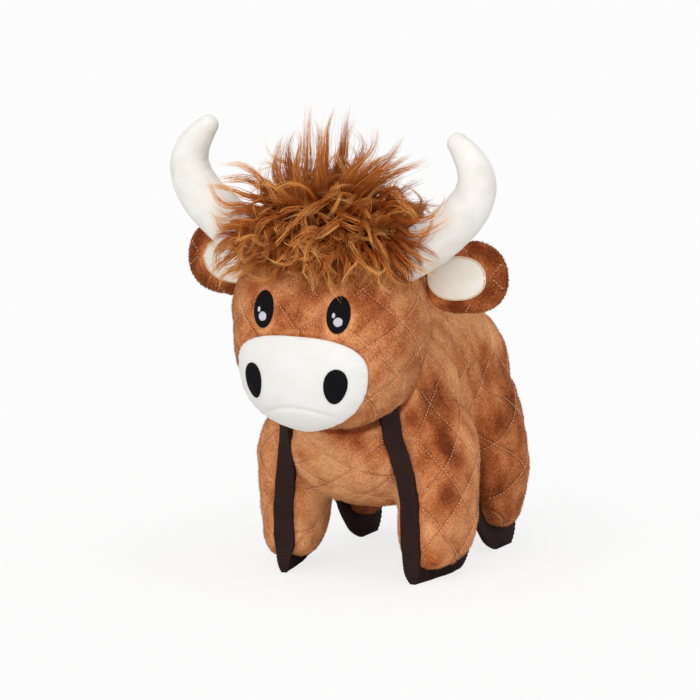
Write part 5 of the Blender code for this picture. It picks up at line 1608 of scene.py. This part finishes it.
# Tall locks that stand up from the crown, and long ones over the horns, ears and brow: points on each line, in
# tenths of a millimetre.
TALL = 14
LONG_LOCKS = (
    ((-170, 500, 2618), (-191, 500, 2782), (-177, 500, 2915), (-213, 500, 3032)),
    ((-186, 660, 2603), (-157, 660, 2791), (-179, 660, 2974), (-164, 660, 3154)),
    ((-165, 740, 2591), (-122, 740, 2780), (-151, 740, 2943), (-194, 740, 3079)),
    ((20, 460, 2666), (42, 460, 2853), (56, 460, 3030), (92, 460, 3186)),
    ((-1, 600, 2628), (49, 600, 2817), (78, 600, 3004), (128, 600, 3173)),
    ((-26, 780, 2582), (17, 780, 2744), (24, 780, 2890), (67, 780, 3046)),
    ((24, 420, 2673), (-5, 420, 2817), (38, 420, 2946), (17, 420, 3070)),
    ((-274, 540, 2604), (-353, 540, 2690), (-324, 540, 2838), (-253, 540, 2962)),
    ((-319, 700, 2560), (-369, 700, 2702), (-354, 700, 2822), (-290, 700, 2966)),
    ((183, 480, 2649), (268, 480, 2788), (340, 480, 2912), (376, 480, 3061)),
    ((40, 760, 2604), (112, 760, 2768), (155, 760, 2891), (97, 760, 3005)),
    ((147, 620, 2596), (262, 620, 2724), (376, 620, 2839), (505, 620, 2981)),
    ((221, 520, 2605), (365, 520, 2722), (486, 520, 2798), (615, 520, 2914)),
    ((177, 680, 2549), (334, 680, 2667), (492, 680, 2758), (663, 680, 2851)),
    ((-284, 500, 2557), (-423, 460, 2658), (-581, 460, 2726), (-731, 460, 2754)),
    ((-304, 480, 2532), (-443, 440, 2621), (-600, 440, 2655), (-765, 440, 2669)),
    ((-323, 460, 2494), (-477, 420, 2562), (-648, 420, 2595), (-784, 420, 2611)),
    ((-343, 440, 2456), (-525, 400, 2502), (-682, 400, 2530), (-799, 420, 2676)),
    ((-362, 420, 2419), (-530, 380, 2452), (-659, 380, 2429), (-754, 400, 2498)),
    ((-396, 400, 2366), (-549, 360, 2375), (-678, 360, 2351), (-773, 380, 2460)),
    ((-415, 380, 2315), (-554, 340, 2285), (-669, 340, 2197), (-728, 360, 2268)),
    ((-421, 360, 2265), (-545, 320, 2170), (-655, 340, 2079), (-759, 380, 1978)),
    ((-397, 340, 2231), (-484, 280, 2142), (-593, 300, 2057), (-712, 340, 1962)),
    ((-444, 380, 2353), (-579, 330, 2258), (-690, 340, 2129), (-671, 360, 1995)),
    ((-378, 360, 2295), (-455, 280, 2223), (-504, 260, 2117), (-613, 280, 2079)),
    ((392, 460, 2576), (501, 440, 2667), (596, 420, 2625), (618, 420, 2481)),
    ((430, 440, 2529), (577, 400, 2574), (691, 400, 2503), (648, 400, 2394)),
    ((510, 420, 2499), (672, 380, 2465), (806, 400, 2512), (911, 420, 2689)),
    ((525, 420, 2447), (700, 380, 2401), (834, 400, 2461), (925, 420, 2604)),
    ((539, 420, 2409), (686, 380, 2347), (791, 400, 2432), (839, 420, 2604)),
    ((525, 420, 2368), (686, 380, 2281), (797, 420, 2230), (862, 480, 2132)),
    ((505, 400, 2330), (652, 360, 2229), (763, 400, 2165), (841, 480, 2065)),
    ((481, 360, 2309), (623, 300, 2197), (719, 340, 2105), (743, 380, 1995)),
    ((-80, 240, 2272), (57, 130, 2182), (106, 100, 2085), (80, 80, 1987)),
    ((73, 220, 2287), (195, 110, 2183), (239, 90, 2084), (301, 80, 1958)),
    ((230, 220, 2300), (340, 120, 2206), (328, 100, 2102), (265, 80, 2015)),
    ((383, 260, 2318), (515, 160, 2213), (574, 140, 2115), (646, 140, 2014)),
    ((431, 280, 2305), (583, 200, 2198), (668, 200, 2112), (757, 240, 2052)),
    ((-146, 260, 2237), (-186, 160, 2145), (-277, 140, 2082), (-393, 160, 2090)),
    ((-250, 300, 2236), (-357, 220, 2135), (-471, 220, 2067), (-604, 260, 2023)),
    ((173, 220, 2322), (133, 120, 2203), (13, 100, 2131), (-96, 120, 2146)),
    ((307, 240, 2315), (424, 140, 2209), (538, 140, 2165), (606, 180, 2216)),
)
long_locks = []
for i, knots in enumerate(LONG_LOCKS):
    tall = i < TALL
    knots = [Vector([whole / 1e4 for whole in knot]) for knot in knots]
    if tall:
        knots.insert(0, Vector((knots[0].x * 0.7, CROWN_DEPTH + (knots[0].y - CROWN_DEPTH) * 0.8, 0.228)))
    guide = curve_rows(knots, 16)[None]
    strands, spread, least = (96, 0.0060, 0.45) if tall else (int(22 - 180 * guide[0, 0, 0]), 0.0021, 0.68)
    # The long locks are pale, partly painted highlight; the tall ones are darker.
    tone_of = np.array([rng.uniform(0.45, 0.78) if tall else rng.uniform(0.72, 1.0)])
    long_locks.append(locks(guide, rng, strands, np.array([spread]), 0.84, 0.0015, 0.00032, tone_of, 0.0020, least))
place_piece(fur_piece("fur_forelock", main, over), "head", FUR, ["forelock"])
place_piece(fur_piece("fur_long_locks", *long_locks), "head", FUR)

# A dark mound under the forelock, coloured like the roots: it stands for the dense inner fur, and its dark is partly
# painted shade deep in the mass.
top, bottom = [], []
for share, angle in disc_steps(24, 72):
    place, way = scalp(angle, share * rim_share(angle))
    top.append(place + way * (0.003 + 0.018 * (1 - share**2)))
    bottom.append(place - way * 0.001)
backing = add_object("fur_backing", top + bottom, disc(24, 72))
points, normals = arrays(backing)
points += normals * (0.0016 * waves(points, 0.009, 51))[:, None]
move(backing, points)
attribute(backing, "along", 0.08 + 0.10 * waves(points, 0.006, 52))
attribute(backing, "tone", np.clip(0.35 + 0.2 * waves(points, 0.005, 53), 0, 1))
place_piece(backing, "head", FUR)

# ---------------------------------------------------------------- tail
knots = [(0.0, RUMP + TAIL_STANDOFF * out, TAIL_ROOT_HEIGHT - TAIL_LENGTH * down) for out, down in TAIL_LINE_SHARES]
line = curve_rows(knots, 80)
radii = [TAIL_RADIUS] * 80 + [TAIL_RADIUS * 0.35]


def tail_ripple(i, angle):
    seam = 0.08 * math.exp(-((math.sin(angle) / 0.12) ** 2)) * (math.cos(angle) > 0)
    return 0.03 * math.sin(i * 0.6) - seam


tail = tube("tail_skin", line, radii, 40, np.array((1.0, 0.0, 0.0)), tail_ripple)
points, _ = arrays(tail)
shade = np.clip(0.35 + 0.12 * waves(points, 0.02, 61), 0, 1)
attribute(tail, "shade", shade)
keep = (points[:, 2] > line[-1][2] + 0.002) & (points[:, 1] > RUMP + 0.003)
place_piece(pile("pile_tail", tail, shade, keep, 6000, 78, 0.0012), "tail", PLUSH, smooth=False)
place_piece(tail, "tail", PLUSH, ["tail"])
rng = np.random.default_rng(31)
TUFT_LOCKS = 46
end, way = line[-1], unit(line[-1] - line[-2])
guides = []
for i in range(TUFT_LOCKS):
    angle, reach = i * GOLDEN_ANGLE, math.sqrt((i + 0.5) / TUFT_LOCKS)
    out = np.array((math.cos(angle), math.sin(angle), 0.0)) * reach
    start = end - way * 0.003 + out * TAIL_RADIUS * 0.95
    belly = end + way * TUFT_LENGTH * 0.45 + out * TUFT_RADIUS * 1.05
    low = end + way * TUFT_LENGTH * rng.uniform(0.85, 1.08) + out * TUFT_RADIUS * 0.45 + rng.normal(0, 0.0015, 3)
    guides.append(curve_rows([start, (start + belly) / 2 + out * 0.002, belly, low], 12))
tone_of = rng.uniform(0.3, 0.8, TUFT_LOCKS)
tuft = locks(np.array(guides), rng, 18, np.full(TUFT_LOCKS, 0.0018), 0.8, 0.0005, STRAND_RADIUS, tone_of)
place_piece(strand_mesh("fur_tuft", *tuft), "tail", FUR, ["tail_tuft"])


# ---------------------------------------------------------------- stage, lamps and camera
def direction(azimuth, elevation):
    a, e = math.radians(azimuth), math.radians(elevation)
    return Vector((math.sin(a) * math.cos(e), -math.cos(a) * math.cos(e), math.sin(e)))


def seen_as(tree, share, lit, seen, surface):
    """The surface shows seen to the camera by this share, and lit to everything else."""
    mix = add(tree, "ShaderNodeMixShader")
    tree.links.new(share, mix.inputs["Fac"])
    tree.links.new(lit, mix.inputs[1])
    tree.links.new(seen, mix.inputs[2])
    tree.links.new(mix.outputs["Shader"], surface)


def camera_ray(tree):
    return add(tree, "ShaderNodeLightPath").outputs["Is Camera Ray"]


def stage():
    mesh = bpy.data.meshes.new("studio_floor")
    mesh.from_pydata([(-9, -9, 0), (9, -9, 0), (9, 9, 0), (-9, 9, 0)], [], [(0, 1, 2, 3)])
    made, tree, shader = node_setup("white studio floor", 0.95, (("Base Color", (0.86, 0.86, 0.86, 1.0)),))
    glow = add(tree, "ShaderNodeEmission", Strength=1.06).outputs["Emission"]
    surface = tree.nodes["Material Output"].inputs["Surface"]
    seen_as(tree, times(tree, camera_ray(tree), 0.74), shader.outputs["BSDF"], glow, surface)
    mesh.materials.append(made)
    linked("studio_floor", mesh)
    world = bpy.data.worlds.new("studio")
    bpy.context.scene.world = world
    world.use_nodes = True
    tree = world.node_tree
    dim, bright = tree.nodes["Background"], add(tree, "ShaderNodeBackground")
    for node, strength in ((dim, 0.48), (bright, 1.0)):
        node.inputs["Color"].default_value = (1.0, 1.0, 1.0, 1.0)
        node.inputs["Strength"].default_value = strength
    surface = tree.nodes["World Output"].inputs["Surface"]
    seen_as(tree, camera_ray(tree), dim.outputs["Background"], bright.outputs["Background"], surface)


def lamp(name, azimuth, elevation, energy, spread):
    """A soft lamp in that direction from the cow."""
    made = bpy.data.lights.new(name, "SUN")
    made.energy, made.angle = energy, math.radians(spread)
    obj = linked(name, made)
    obj.rotation_mode = "QUATERNION"
    obj.rotation_quaternion = (-direction(azimuth, elevation)).to_track_quat("-Z", "Y")


stage()
lamp("key", 5.0, 28.0, 1.20, 60.0)
lamp("fill", 80.0, 22.0, 0.40, 70.0)
lamp("top", 20.0, 75.0, 0.50, 60.0)

# The camera that was fitted to the photograph: its direction, distance, and focal length in pixels of 700.
AZIMUTH, ELEVATION, DISTANCE, FOCAL = 24.6, 10.5, 6.0, 9228.0
back = direction(AZIMUTH, ELEVATION)
right = Vector((math.cos(math.radians(AZIMUTH)), math.sin(math.radians(AZIMUTH)), 0.0))
target = right * -0.0158 + Vector((0.0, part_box("muzzle")[0].y + 0.129, 0.1440))
camera = linked("camera", bpy.data.cameras.new("camera"))
camera.data.sensor_fit, camera.data.sensor_width = "HORIZONTAL", 36.0
camera.data.lens = FOCAL * 36.0 / 700
camera.data.clip_end = 40.0
axes = Matrix((right, back.cross(right), back)).transposed().to_4x4()
camera.matrix_world = Matrix.Translation(target + back * DISTANCE) @ axes
bpy.context.scene.camera = camera
bpy.context.scene.view_settings.view_transform = "Standard"
